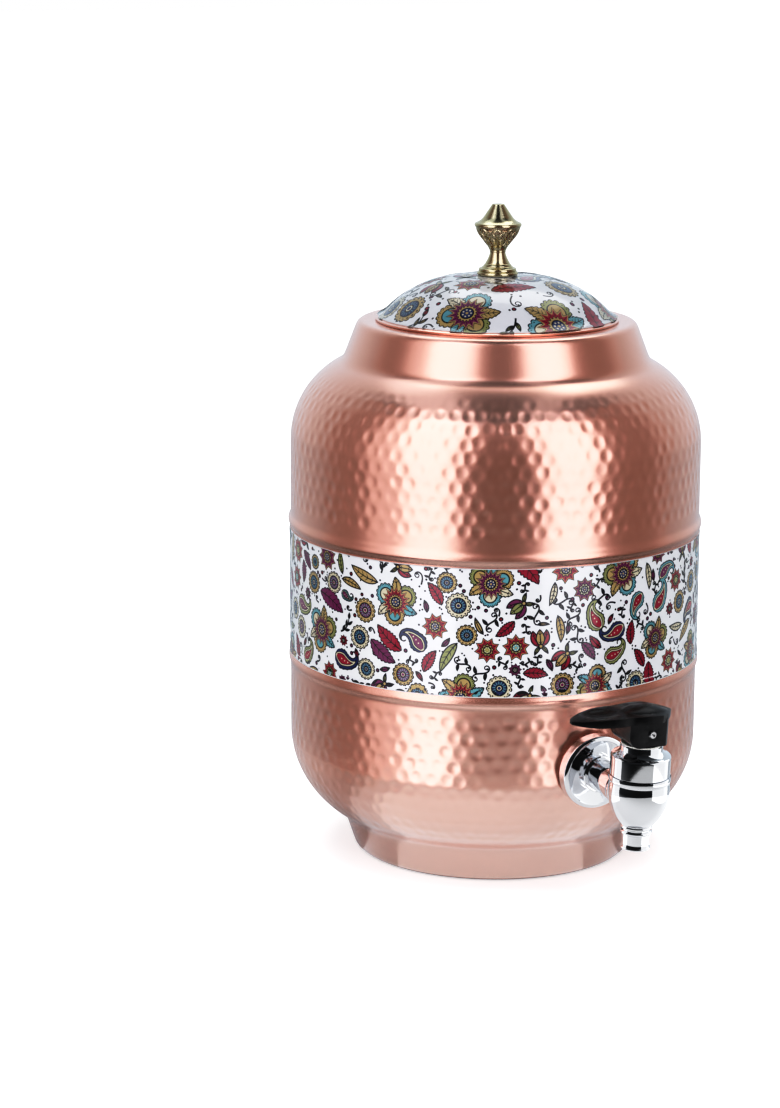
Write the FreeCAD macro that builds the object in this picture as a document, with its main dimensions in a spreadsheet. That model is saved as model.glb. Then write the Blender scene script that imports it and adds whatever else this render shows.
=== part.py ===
import FreeCAD, Part
import math
import os
import Sketcher

# Copper water dispenser
# Millimetres, +Z up. The origin is on the barrel's axis, on the plane of the foot, and
# the tap stands towards -Y.

document = FreeCAD.newDocument("WaterDispenser")
sheet = document.addObject("Spreadsheet::Sheet", "Sizes")
V = FreeCAD.Vector


# Sizes that remember the sheet cell or formula they come from

class Size:
    def __init__(self, value, text):
        self.value = value
        self.text = text

    def __add__(self, other):
        return join(self, "+", other, self.value + number(other))

    def __radd__(self, other):
        return join(other, "+", self, number(other) + self.value)

    def __sub__(self, other):
        return join(self, "-", other, self.value - number(other))

    def __rsub__(self, other):
        return join(other, "-", self, number(other) - self.value)

    def __mul__(self, other):
        return join(self, "*", other, self.value * number(other))

    def __rmul__(self, other):
        return join(other, "*", self, number(other) * self.value)

    def __truediv__(self, other):
        return join(self, "/", other, self.value / number(other))

    def __neg__(self):
        return join(0, "-", self, -self.value)


def number(item):
    return item.value if isinstance(item, Size) else float(item)


def words(item):
    return item.text if isinstance(item, Size) else f"{float(item):.6f}"


def join(left, sign, right, value):
    return Size(value, f"({words(left)} {sign} {words(right)})")


def cosine(angle):
    return Size(math.cos(math.radians(number(angle))), f"cos({words(angle)})")


def sine(angle):
    return Size(math.sin(math.radians(number(angle))), f"sin({words(angle)})")


def root(item):
    return Size(math.sqrt(number(item)), f"sqrt({words(item)})")


row_count = 0


def driving(name, value):
    """Puts one driving size in the sheet under its own name."""
    global row_count
    row_count += 1
    sheet.set(f"A{row_count}", name)
    sheet.set(f"B{row_count}", str(value))
    sheet.setAlias(f"B{row_count}", name)
    return Size(value, f"Sizes.{name}")


# Driving sizes: the copper vessel
belly_radius = driving("belly_radius", 90.0)
sheet_wall = driving("sheet_wall", 1.0)
foot_slope = driving("foot_slope", 19.0)
foot_edge_round = driving("foot_edge_round", 3.0)
foot_lip_width = driving("foot_lip_width", 4.0)
foot_blend = driving("foot_blend", 8.0)
bowl_round = driving("bowl_round", 42.0)
bowl_turn = driving("bowl_turn", 60.0)
bowl_top = driving("bowl_top", 54.0)
bead_half_width = driving("bead_half_width", 2.4)
lower_bead_proud = driving("lower_bead_proud", 0.9)
lower_bead_lift = driving("lower_bead_lift", 33.0)
upper_bead_proud = driving("upper_bead_proud", 1.1)
upper_bead_drop = driving("upper_bead_drop", 35.2)
seam_lap = driving("seam_lap", 8.0)
braze_gap = driving("braze_gap", 0.08)
neck_top = driving("neck_top", 236.2)
shoulder_drop = driving("shoulder_drop", 52.5)
shoulder_round = driving("shoulder_round", 38.5)
shoulder_turn = driving("shoulder_turn", 62.0)
neck_blend = driving("neck_blend", 4.0)
neck_corner_round = driving("neck_corner_round", 3.0)
mouth_radius = driving("mouth_radius", 47.0)
mouth_round = driving("mouth_round", 1.6)
mouth_ledge = driving("mouth_ledge", 10.0)
mouth_lip_depth = driving("mouth_lip_depth", 7.0)
base_recess = driving("base_recess", 2.4)
base_step_width = driving("base_step_width", 3.0)
film_thickness = driving("film_thickness", 0.3)
film_gap = driving("film_gap", 0.03)
band_margin_low = driving("band_margin_low", 0.4)
band_margin_high = driving("band_margin_high", 1.2)

# Driving sizes: the lid
lid_wall = driving("lid_wall", 0.9)
lid_seat_gap = driving("lid_seat_gap", 0.15)
rim_overhang = driving("rim_overhang", 6.2)
brim_width = driving("brim_width", 5.9)
brim_turn = driving("brim_turn", 20.0)
crown_radius = driving("crown_radius", 194.0)
knuckle_radius = driving("knuckle_radius", 46.0)
knuckle_turn = driving("knuckle_turn", 45.6)
print_edge_margin = driving("print_edge_margin", 1.6)
collar_gap = driving("collar_gap", 0.5)
collar_wall = driving("collar_wall", 0.9)
collar_depth = driving("collar_depth", 7.0)
collar_seat_gap = driving("collar_seat_gap", 0.25)

# Driving sizes: the knob and its screw, heights up from the knob's foot
knob_base_radius = driving("knob_base_radius", 8.6)
knob_base_step = driving("knob_base_step", 0.7)
knob_base_height = driving("knob_base_height", 1.5)
knob_bell_height = driving("knob_bell_height", 3.0)
knob_waist_radius = driving("knob_waist_radius", 3.4)
knob_waist_height = driving("knob_waist_height", 9.6)
knob_flute_flare = driving("knob_flute_flare", 1.7)
knob_flute_height = driving("knob_flute_height", 13.2)
knob_cup_radius = driving("knob_cup_radius", 7.8)
knob_cup_height = driving("knob_cup_height", 16.6)
knob_disc_radius = driving("knob_disc_radius", 10.2)
knob_disc_height = driving("knob_disc_height", 20.9)
knob_disc_thickness = driving("knob_disc_thickness", 1.7)
knob_dome_radius = driving("knob_dome_radius", 6.4)
knob_dome_height = driving("knob_dome_height", 25.0)
knob_tip_radius = driving("knob_tip_radius", 2.4)
knob_height = driving("knob_height", 30.7)
screw_radius = driving("screw_radius", 2.5)
screw_fit = driving("screw_fit", 0.1)
screw_grip = driving("screw_grip", 9.0)
screw_head_radius = driving("screw_head_radius", 4.6)
screw_head_height = driving("screw_head_height", 3.0)
screw_head_round = driving("screw_head_round", 1.2)
knob_washer_radius = driving("knob_washer_radius", 7.0)
knob_washer_thickness = driving("knob_washer_thickness", 1.0)
knob_washer_gap = driving("knob_washer_gap", 0.15)
stack_gap = driving("stack_gap", 0.02)
edge_break = driving("edge_break", 0.4)

# Driving sizes: where the tap stands on the wall
tap_lift = driving("tap_lift", 2.9)
tap_reach = driving("tap_reach", 39.6)
tap_tilt = driving("tap_tilt", 4.5)

# Driving sizes: the tap's shank and what clamps it to the wall
shank_radius = driving("shank_radius", 6.9)
shank_root_swell = driving("shank_root_swell", 0.6)
shank_thread_radius = driving("shank_thread_radius", 6.0)
shank_collar_step = driving("shank_collar_step", 1.1)
shank_collar_length = driving("shank_collar_length", 4.6)
shank_inner_length = driving("shank_inner_length", 13.0)
water_way_radius = driving("water_way_radius", 3.8)
wall_hole_gap = driving("wall_hole_gap", 0.5)
thread_fit = driving("thread_fit", 0.08)
seal_radius = driving("seal_radius", 10.5)
outer_seal_thickness = driving("outer_seal_thickness", 2.0)
inner_seal_thickness = driving("inner_seal_thickness", 2.6)
seal_skin = driving("seal_skin", 0.04)
flange_radius = driving("flange_radius", 16.0)
flange_depth = driving("flange_depth", 5.4)
flange_wall = driving("flange_wall", 1.4)
flange_rim_width = driving("flange_rim_width", 1.7)
flange_back_reach = driving("flange_back_reach", 1.2)
flange_dish_bend = driving("flange_dish_bend", 16.0)
steel_washer_radius = driving("steel_washer_radius", 11.0)
steel_washer_thickness = driving("steel_washer_thickness", 1.2)
nut_across_flats = driving("nut_across_flats", 19.0)
nut_thickness = driving("nut_thickness", 6.0)
nut_bevel = driving("nut_bevel", 1.2)

# Driving sizes: the tap's bowl, spout and bonnet, up from the shank's axis
chamber_radius = driving("chamber_radius", 9.2)
chamber_round = driving("chamber_round", 3.6)
bowl_thread_wall = driving("bowl_thread_wall", 1.4)
bonnet_wall = driving("bonnet_wall", 1.8)
bowl_side_round = driving("bowl_side_round", 21.0)
bowl_neck_radius = driving("bowl_neck_radius", 7.0)
bowl_bottom = driving("bowl_bottom", -10.4)
joint_ring_proud = driving("joint_ring_proud", 0.5)
joint_ring_bottom = driving("joint_ring_bottom", 9.2)
joint_height = driving("joint_height", 11.4)
seat_height = driving("seat_height", -4.4)
seat_radius = driving("seat_radius", 3.8)
bowl_thread_length = driving("bowl_thread_length", 4.6)
spout_bottom = driving("spout_bottom", -20.9)
spout_wall = driving("spout_wall", 1.4)
spout_thread_wall = driving("spout_thread_wall", 1.1)
spout_flare = driving("spout_flare", 0.7)
spout_bore_radius = driving("spout_bore_radius", 4.3)
spout_thread_length = driving("spout_thread_length", 4.4)
spout_ring_proud = driving("spout_ring_proud", 1.0)
spout_ring_height = driving("spout_ring_height", 1.5)
spout_groove_width = driving("spout_groove_width", 0.8)
spout_groove_depth = driving("spout_groove_depth", 0.8)
bonnet_shoulder_height = driving("bonnet_shoulder_height", 20.2)
bonnet_neck_height = driving("bonnet_neck_height", 22.3)
bonnet_neck_radius = driving("bonnet_neck_radius", 8.9)
bonnet_top = driving("bonnet_top", 24.8)
bonnet_seal_thickness = driving("bonnet_seal_thickness", 0.7)
gland_bottom = driving("gland_bottom", 18.6)
gland_height = driving("gland_height", 2.0)
gland_depth = driving("gland_depth", 1.9)
joint_gap = driving("joint_gap", 0.05)

# Driving sizes: the valve
stem_radius = driving("stem_radius", 2.5)
stem_fit = driving("stem_fit", 0.05)
stem_tail_radius = driving("stem_tail_radius", 1.5)
stem_flat_depth = driving("stem_flat_depth", 0.4)
stem_eye_length = driving("stem_eye_length", 4.0)
plug_radius = driving("plug_radius", 6.4)
plug_thickness = driving("plug_thickness", 2.8)
plug_tip_depth = driving("plug_tip_depth", 1.8)
plug_tip_slope = driving("plug_tip_slope", 0.9)
plug_seat_gap = driving("plug_seat_gap", 0.05)
plug_washer_thickness = driving("plug_washer_thickness", 0.8)
tail_sink = driving("tail_sink", 0.6)
spring_radius = driving("spring_radius", 4.4)
spring_wire = driving("spring_wire", 0.45)
spring_turns = driving("spring_turns", 5.0)
spring_end_gap = driving("spring_end_gap", 0.1)
glide_thickness = driving("glide_thickness", 0.6)
glide_margin = driving("glide_margin", 0.4)
glide_fit = driving("glide_fit", 0.15)

# Driving sizes: the lever, its heel and its pin
lever_gap = driving("lever_gap", 0.1)
pin_radius = driving("pin_radius", 1.0)
pin_rise = driving("pin_rise", 5.5)
pin_head_radius = driving("pin_head_radius", 1.8)
pin_head_height = driving("pin_head_height", 0.7)
pin_dimple_radius = driving("pin_dimple_radius", 0.9)
pin_dimple_depth = driving("pin_dimple_depth", 0.5)
heel_reach = driving("heel_reach", 5.0)
skirt_front = driving("skirt_front", 10.6)
skirt_half_width = driving("skirt_half_width", 8.0)
skirt_height = driving("skirt_height", 10.6)
skirt_corner_back = driving("skirt_corner_back", 4.0)
skirt_nose_width = driving("skirt_nose_width", 3.0)
plate_thickness = driving("plate_thickness", 2.2)
plate_overhang = driving("plate_overhang", 1.4)
head_crown = driving("head_crown", 3.0)
head_rear = driving("head_rear", 13.0)
head_sink = driving("head_sink", 0.1)
head_back = driving("head_back", 7.0)
waist_length = driving("waist_length", 6.0)
waist_depth = driving("waist_depth", 0.6)
paddle_arch = driving("paddle_arch", 1.2)
paddle_drop = driving("paddle_drop", 0.2)
paddle_tip_thickness = driving("paddle_tip_thickness", 0.9)
paddle_tip_width = driving("paddle_tip_width", 5.2)
paddle_length = driving("paddle_length", 34.0)
paddle_half_width = driving("paddle_half_width", 8.6)
dish_depth = driving("dish_depth", 1.1)
dish_length = driving("dish_length", 17.0)
dish_half_width = driving("dish_half_width", 5.2)
dish_tip_margin = driving("dish_tip_margin", 5.0)
slot_half_length = driving("slot_half_length", 5.2)
slot_gap = driving("slot_gap", 0.1)


# Outlines for sketches
# An outline is a list of corners (across, up, bend radius, side). A bend belongs to the
# run that arrives at its corner: side +1 turns left and -1 turns right, as seen on the sketch.

def line(across, up):
    return (across, up, None, 0)


def left(across, up, radius):
    return (across, up, radius, 1)


def right(across, up, radius):
    return (across, up, radius, -1)


def backwards(corners):
    """The same open run of corners, walked from its end to its start."""
    turned = []
    for place in range(len(corners) - 1, -1, -1):
        across, up = corners[place][:2]
        if place == len(corners) - 1:
            turned.append(line(across, up))
        else:
            radius, side = corners[place + 1][2:]
            turned.append((across, up, radius, -side))
    return turned


def round_run(start, end, radius, side):
    """A circle's arc from start to end, and which of its ends is the start."""
    chord = end - start
    middle = (start + end) * 0.5
    height = math.sqrt(max(radius ** 2 - (chord.Length / 2) ** 2, 0.0))
    normal = V(-chord.y, chord.x, 0)
    normal.normalize()
    centre = middle + normal * height * side
    first = math.atan2(start.y - centre.y, start.x - centre.x)
    last = math.atan2(end.y - centre.y, end.x - centre.x)
    circle = Part.Circle(centre, V(0, 0, 1), radius)
    if side > 0:
        return Part.ArcOfCircle(circle, first, last), 1, 2
    return Part.ArcOfCircle(circle, last, first), 2, 1


def draw(body, name, plane, outlines):
    """A closed sketch on one of the body's own planes, every corner tied to the sheet."""
    sketch = body.newObject("Sketcher::SketchObject", name)
    origin_plane = [f for f in body.Origin.OriginFeatures if f.Role == plane][0]
    sketch.AttachmentSupport = [(origin_plane, "")]
    sketch.MapMode = "FlatFace"
    for corners in outlines:
        add_outline(sketch, corners)
    return sketch


def add_outline(sketch, corners):
    runs = []
    for place, corner in enumerate(corners):
        before = corners[place - 1]
        start = V(number(before[0]), number(before[1]), 0)
        end = V(number(corner[0]), number(corner[1]), 0)
        if corner[2] is None:
            run = sketch.addGeometry(Part.LineSegment(start, end), False)
            runs.append((run, 1, 2))
        else:
            arc, first, last = round_run(start, end, number(corner[2]), corner[3])
            run = sketch.addGeometry(arc, False)
            runs.append((run, first, last))
            tie(sketch, ("Radius", run), corner[2])
    for place, corner in enumerate(corners):
        run, _, last = runs[place]
        following, first, _ = runs[(place + 1) % len(corners)]
        sketch.addConstraint(Sketcher.Constraint("Coincident", run, last, following, first))
        for kind, item, axis in (("DistanceX", corner[0], -2), ("DistanceY", corner[1], -1)):
            if isinstance(item, (int, float)) and item == 0:
                sketch.addConstraint(Sketcher.Constraint("PointOnObject", run, last, axis))
            else:
                tie(sketch, (kind, -1, 1, run, last), item)


def tie(sketch, kind, item):
    index = sketch.addConstraint(Sketcher.Constraint(*kind, number(item)))
    if isinstance(item, Size):
        sketch.setExpression(f"Constraints[{index}]", item.text)


def add_circle(sketch, across, up, radius):
    """A full circle in a sketch, its centre and radius tied to the sheet."""
    centre = V(number(across), number(up), 0)
    run = sketch.addGeometry(Part.Circle(centre, V(0, 0, 1), number(radius)), False)
    tie(sketch, ("Radius", run), radius)
    for kind, item, axis in (("DistanceX", across, -2), ("DistanceY", up, -1)):
        if isinstance(item, (int, float)) and item == 0:
            sketch.addConstraint(Sketcher.Constraint("PointOnObject", run, 3, axis))
        else:
            tie(sketch, (kind, -1, 1, run, 3), item)


# Features

made = {}


def new_body(name, at_tap=False, kept=True):
    body = document.addObject("PartDesign::Body", name)
    body.Label = name
    if at_tap:
        place_at_tap(body)
    if kept:
        made[name] = body
    return body


def place_at_tap(item, level=0):
    """The tap's own frame, Z up along the spout's axis, at a level above the shank."""
    item.Placement = FreeCAD.Placement(V(0, 0, 0), FreeCAD.Rotation(V(1, 0, 0), tap_tilt.value))
    item.setExpression(".Placement.Rotation.Angle", tap_tilt.text)
    item.setExpression(".Placement.Base.y", (tap_axis_y - level * sine(tap_tilt)).text)
    item.setExpression(".Placement.Base.z", (tap_axis_z + level * cosine(tap_tilt)).text)


def revolve(body, name, sketch, axis, kind="PartDesign::Revolution"):
    """A full turn of a sketch about one of its own axes or runs."""
    feature = body.newObject(kind, name)
    feature.Profile = sketch
    feature.ReferenceAxis = (sketch, [axis])
    feature.Angle = 360.0
    body.Tip = feature
    return feature


def turn(body, name, corners, axis="V_Axis", plane="XZ_Plane", cut=False):
    """A revolved feature, added or cut, from the corners of its outline."""
    sketch = draw(body, name + "_sketch", plane, [corners])
    kind = "PartDesign::Groove" if cut else "PartDesign::Revolution"
    return revolve(body, name, sketch, axis, kind)


def offset_sketch(sketch, distance):
    """Lifts a sketch off its plane by a distance from the sheet."""
    sketch.AttachmentOffset = FreeCAD.Placement(V(0, 0, distance.value), FreeCAD.Rotation())
    sketch.setExpression(".AttachmentOffset.Base.z", distance.text)


def raised_sketch(body, name, level, corners):
    """A sketch on the body's XY plane, lifted to a level."""
    sketch = draw(body, name, "XY_Plane", [corners])
    offset_sketch(sketch, level)
    return sketch


def extrude(body, name, sketch, length, cut=False, both=False, reverse=False):
    """A pad or pocket of a sketch, to a length from the sheet."""
    kind = "PartDesign::Pocket" if cut else "PartDesign::Pad"
    feature = body.newObject(kind, name)
    feature.Profile = sketch
    feature.Length = number(length)
    if isinstance(length, Size):
        feature.setExpression("Length", length.text)
    feature.Midplane = both
    feature.Reversed = reverse
    body.Tip = feature
    return feature


def ring(name, inner, outer, bottom, top, at_tap=False, axis="V_Axis", plane="XZ_Plane"):
    """A plain washer between two radii and two heights."""
    body = new_body(name, at_tap)
    corners = [line(inner, bottom), line(outer, bottom), line(outer, top), line(inner, top)]
    if axis == "H_Axis":
        corners = [line(up, across) for across, up, _, _ in corners]
    turn(body, name + "_turned", corners, axis, plane)
    return body


# The copper vessel

def along(centre, radius, angle, rise):
    """The point of a circle at an angle above (rise +1) or below (rise -1) the level."""
    return (centre[0] + radius * cosine(angle), centre[1] + rise * (radius * sine(angle)))


def cap_bend(half_width, rise):
    """The radius of a shallow arc that rises over a half width."""
    return (rise * rise + half_width * half_width) / (2 * rise)


def bead(height, proud, inset):
    """Corners of a swaged half-round bead in the straight wall, going up."""
    edge = belly_radius - inset
    bend = cap_bend(bead_half_width, proud)
    return [line(edge, height - bead_half_width),
            left(edge + proud, height, bend),
            left(edge, height + bead_half_width, bend)]


lower_bead_height = bowl_top + lower_bead_lift
shoulder_base = neck_top - shoulder_drop
upper_bead_height = shoulder_base - upper_bead_drop
seam_height = (lower_bead_height + upper_bead_height - seam_lap) / 2


def lower_outline(inset):
    """The lower shell's outside, pushed in by inset, from the foot's lip up to the seam."""
    bowl_centre = (belly_radius - bowl_round, bowl_top)
    bowl_low = along(bowl_centre, bowl_round - inset, bowl_turn, -1)
    blend_centre = along(bowl_centre, bowl_round + foot_blend, bowl_turn, -1)
    blend_bend = foot_blend + inset
    foot_high = (blend_centre[0] - blend_bend * cosine(foot_slope),
                 blend_centre[1] + blend_bend * sine(foot_slope))
    slope = sine(foot_slope) / cosine(foot_slope)
    outer_high = (blend_centre[0] - foot_blend * cosine(foot_slope),
                  blend_centre[1] + foot_blend * sine(foot_slope))
    edge_z = foot_edge_round - foot_edge_round * sine(foot_slope)
    edge_r = outer_high[0] - (outer_high[1] - edge_z) * slope
    edge_centre = (edge_r - foot_edge_round * cosine(foot_slope), foot_edge_round)
    edge_high = along(edge_centre, foot_edge_round - inset, foot_slope, -1)
    lip_end = edge_centre[0] - foot_lip_width
    wall = belly_radius - inset
    joggle = wall - sheet_wall - braze_gap
    return [line(lip_end, inset),
            line(edge_centre[0], inset),
            left(edge_high[0], edge_high[1], foot_edge_round - inset),
            line(foot_high[0], foot_high[1]),
            right(bowl_low[0], bowl_low[1], blend_bend),
            left(wall, bowl_top, bowl_round - inset),
            *bead(lower_bead_height, lower_bead_proud, inset),
            line(wall, seam_height - 2 * sheet_wall),
            line(joggle, seam_height - sheet_wall),
            line(joggle, seam_height + seam_lap)]


def upper_outline(inset):
    """The upper shell's outside, pushed in by inset, from the seam up to the mouth."""
    wall = belly_radius - inset
    shoulder_centre = (belly_radius - shoulder_round, shoulder_base)
    shoulder_high = along(shoulder_centre, shoulder_round - inset, shoulder_turn, 1)
    blend = along(shoulder_centre, shoulder_round + neck_blend, shoulder_turn, 1)
    corner = (mouth_radius + mouth_round + mouth_ledge, neck_top - neck_corner_round)
    # The neck's straight side is the line that touches the blend's circle on its inside
    # and the corner's circle on its outside
    across = blend[0] - corner[0]
    up = blend[1] - corner[1]
    apart = root(across * across + up * up)
    share = (neck_blend + neck_corner_round) / apart
    rest = root(1 - share * share)
    out = (share * across - rest * up) / apart
    rise = (share * up + rest * across) / apart
    blend_bend = neck_blend + inset
    corner_bend = neck_corner_round - inset
    return [line(wall, seam_height),
            *bead(upper_bead_height, upper_bead_proud, inset),
            line(wall, shoulder_base),
            left(shoulder_high[0], shoulder_high[1], shoulder_round - inset),
            right(blend[0] - blend_bend * out, blend[1] - blend_bend * rise, blend_bend),
            line(corner[0] + corner_bend * out, corner[1] + corner_bend * rise),
            left(corner[0], neck_top - inset, corner_bend),
            line(mouth_radius + mouth_round, neck_top - inset),
            left(mouth_radius + inset, neck_top - mouth_round, mouth_round - inset),
            line(mouth_radius + inset, neck_top - mouth_lip_depth)]


def sheet_metal(name, outline, wall):
    """A turned skin between an outline and the same outline pushed in by the wall."""
    body = new_body(name)
    turn(body, name + "_spun", outline(0) + backwards(outline(wall)))
    return body


tap_height = bowl_top + tap_lift
tap_axis_y = 0 - (belly_radius + tap_reach * cosine(tap_tilt))
tap_axis_z = tap_height - tap_reach * sine(tap_tilt)

lower_shell = sheet_metal("lower_shell", lower_outline, sheet_wall)
hole_sketch = draw(lower_shell, "tap_hole_sketch", "XZ_Plane", [])
add_circle(hole_sketch, 0, tap_height, shank_thread_radius + wall_hole_gap)
extrude(lower_shell, "tap_hole", hole_sketch, belly_radius + upper_bead_proud, cut=True, reverse=True)

sheet_metal("upper_shell", upper_outline, sheet_wall)

plate_bottom = sheet_wall + stack_gap
plate_edge = lower_outline(sheet_wall)[1][0] - braze_gap
plate_ledge = plate_edge - foot_lip_width
plate_step = plate_ledge - base_step_width
base_plate = new_body("base_plate")
turn(base_plate, "base_plate_pressed", [
    line(0, plate_bottom + base_recess),
    line(plate_step, plate_bottom + base_recess),
    line(plate_ledge, plate_bottom),
    line(plate_edge, plate_bottom),
    line(plate_edge, plate_bottom + sheet_wall),
    line(plate_ledge, plate_bottom + sheet_wall),
    line(plate_step, plate_bottom + base_recess + sheet_wall),
    line(0, plate_bottom + base_recess + sheet_wall)])

ring("band_print",
                  belly_radius + film_gap,
                  belly_radius + film_gap + film_thickness,
                  lower_bead_height + bead_half_width + band_margin_low,
                  upper_bead_height - bead_half_width - band_margin_high)


# The lid: a flat crown, a round knuckle and a flared brim, each arc running into the next

rim_radius = mouth_radius + rim_overhang
knuckle_side = rim_radius - brim_width - knuckle_radius * sine(knuckle_turn)
crown_sine = knuckle_side / (crown_radius - knuckle_radius)
crown_cosine = root(1 - crown_sine * crown_sine)
brim_bend = brim_width / (sine(knuckle_turn) - sine(brim_turn))
knuckle_fall = (crown_radius - (crown_radius - knuckle_radius) * crown_cosine
                - knuckle_radius * cosine(knuckle_turn))
brim_fall = brim_bend * (cosine(brim_turn) - cosine(knuckle_turn))
lid_apex = neck_top + lid_seat_gap + lid_wall * cosine(brim_turn) + knuckle_fall + brim_fall
crown_height = lid_apex - crown_radius
knuckle_height = crown_height + (crown_radius - knuckle_radius) * crown_cosine
brim_height = knuckle_height + (knuckle_radius + brim_bend) * cosine(knuckle_turn)
brim_side = knuckle_side + (knuckle_radius + brim_bend) * sine(knuckle_turn)


def lid_outline(inset, first, last_turn):
    """The lid's top surface, pushed in by inset, from a radius near the axis to the brim."""
    crown = crown_radius - inset
    knuckle = knuckle_radius - inset
    brim = brim_bend + inset
    return [line(first, crown_height + root(crown * crown - first * first)),
            right(crown * crown_sine, crown_height + crown * crown_cosine, crown),
            right(knuckle_side + knuckle * sine(knuckle_turn),
                  knuckle_height + knuckle * cosine(knuckle_turn), knuckle),
            left(brim_side - brim * sine(last_turn),
                 brim_height - brim * cosine(last_turn), brim)]


screw_hole = screw_radius + screw_fit
lid_shell = new_body("lid_shell")
turn(lid_shell, "lid_spun",
     lid_outline(0, screw_hole, brim_turn)
     + backwards(lid_outline(lid_wall, screw_hole, brim_turn)))

degrees = 180 / math.pi
print_turn = brim_turn + print_edge_margin / brim_bend * degrees
lid_print = new_body("lid_print")
turn(lid_print, "lid_print_laid",
     lid_outline(0 - film_gap - film_thickness, screw_hole, print_turn)
     + backwards(lid_outline(0 - film_gap, screw_hole, print_turn)))


def under_dome(radius):
    """The height of the dome's underside at a radius on its knuckle."""
    across = radius - knuckle_side
    under_knuckle = knuckle_radius - lid_wall
    return knuckle_height + root(under_knuckle * under_knuckle - across * across)


collar_radius = mouth_radius - collar_gap
collar_inside = collar_radius - collar_wall
lid_collar = new_body("lid_collar")
turn(lid_collar, "lid_collar_rolled", [
    line(collar_inside, neck_top - collar_depth),
    line(collar_radius, neck_top - collar_depth),
    line(collar_radius, under_dome(collar_radius) - collar_seat_gap),
    line(collar_inside, under_dome(collar_inside) - collar_seat_gap)])


# The knob: a stepped base, a bell, a fluted stem, a cup and a domed disc with a tip

knob_foot = lid_apex + film_gap + film_thickness + stack_gap
base_edge = knob_base_radius
bell_edge = knob_base_radius - knob_base_step
disc_top = knob_disc_height + knob_disc_thickness
knob_top = knob_foot + knob_height
bore_end = knob_foot + screw_grip + screw_fit
knob = new_body("knob")
turn(knob, "knob_turned", [
    line(screw_hole, knob_foot),
    line(base_edge, knob_foot),
    left(base_edge, knob_foot + knob_base_height, knob_base_height * 0.7),
    line(bell_edge, knob_foot + knob_base_height),
    left(bell_edge, knob_foot + knob_bell_height, knob_base_height * 0.7),
    line(bell_edge - knob_base_step, knob_foot + knob_bell_height),
    right(knob_waist_radius, knob_foot + knob_waist_height, 13.0),
    right(knob_waist_radius + knob_flute_flare, knob_foot + knob_flute_height, 6.5),
    line(knob_cup_radius, knob_foot + knob_cup_height),
    left(knob_disc_radius - edge_break, knob_foot + knob_disc_height, 11.0),
    left(knob_disc_radius - edge_break, knob_foot + disc_top, knob_disc_thickness * 0.6),
    right(knob_dome_radius, knob_foot + knob_dome_height, 7.0),
    line(knob_tip_radius + edge_break, knob_top - edge_break),
    left(knob_tip_radius, knob_top, edge_break * 1.5),
    line(0, knob_top),
    line(0, bore_end + screw_hole / 2),
    line(screw_hole, bore_end)])

dome_underside = lid_apex - lid_wall
washer_top = dome_underside - knob_washer_gap
screw_seat = washer_top - knob_washer_thickness - stack_gap
ring("knob_washer", screw_hole, knob_washer_radius,
                   washer_top - knob_washer_thickness, washer_top)

head_bottom = screw_seat - screw_head_height
screw_end = knob_foot + screw_grip
knob_screw = new_body("knob_screw")
turn(knob_screw, "knob_screw_turned", [
    line(0, screw_end),
    line(0, head_bottom),
    line(screw_head_radius - screw_head_round, head_bottom),
    left(screw_head_radius, head_bottom + screw_head_round, screw_head_round),
    line(screw_head_radius, screw_seat),
    line(screw_radius, screw_seat),
    line(screw_radius, screw_end - edge_break),
    line(screw_radius - edge_break, screw_end)])


# The tap's clamp on the wall: everything here turns about the shank, so its sketches lie
# on the YZ plane with the distance towards the vessel across and the radius up

shank_hole = shank_thread_radius + thread_fit
shank_collar_radius = shank_radius + shank_collar_step
hub_back = tap_reach - outer_seal_thickness
hub_radius = seal_radius + edge_break
flange_face = hub_back - flange_wall
rim_back = tap_reach - flange_back_reach
rim_front = rim_back - flange_depth
rim_inside = flange_radius - flange_rim_width
tap_flange = new_body("tap_flange", True)
turn(tap_flange, "tap_flange_pressed", [
    line(hub_back, shank_hole),
    line(hub_back, hub_radius),
    line(rim_front + flange_rim_width + flange_wall, rim_inside - edge_break),
    line(rim_back, flange_radius - flange_wall),
    line(rim_back, flange_radius),
    line(rim_front + flange_rim_width, flange_radius),
    left(rim_front, rim_inside, flange_rim_width),
    line(rim_front + edge_break, rim_inside - edge_break),
    right(flange_face, shank_collar_radius + edge_break, flange_dish_bend),
    line(flange_face, shank_hole)], "H_Axis", "YZ_Plane")


# The rubber seals follow the curved wall: a plain ring is cut by the wall's own form

def vessel_form(name, inset):
    """The solid inside the lower shell's outline, pushed in by inset."""
    body = new_body(name, kept=False)
    corners = lower_outline(inset)
    turn(body, name + "_turned", [line(0, inset)] + corners + [line(0, corners[-1][1])])
    return body


def lay_on_shank(item, near):
    """Turns a cylinder onto the shank's axis, its near end at a distance from the spout."""
    turned = FreeCAD.Rotation(V(1, 0, 0), tap_tilt.value - 90)
    item.Placement = FreeCAD.Placement(V(0, 0, 0), turned)
    item.setExpression(".Placement.Rotation.Angle", (tap_tilt - 90).text)
    item.setExpression(".Placement.Base.y", (tap_axis_y + near * cosine(tap_tilt)).text)
    item.setExpression(".Placement.Base.z", (tap_axis_z + near * sine(tap_tilt)).text)


def shaped_ring(name, near, far, form, kind):
    """A ring on the shank, cut to lie on the curved wall."""
    length = far - near
    blank = document.addObject("Part::Cylinder", name + "_blank")
    hole = document.addObject("Part::Cylinder", name + "_hole")
    for cylinder, radius in ((blank, seal_radius), (hole, shank_hole)):
        cylinder.setExpression("Radius", radius.text)
        cylinder.setExpression("Height", length.text)
        lay_on_shank(cylinder, near)
    tube = document.addObject("Part::Cut", name + "_tube")
    tube.Base = blank
    tube.Tool = hole
    result = document.addObject(kind, name)
    result.Label = name
    result.Base = tube
    result.Tool = form
    made[name] = result
    return result


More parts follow.
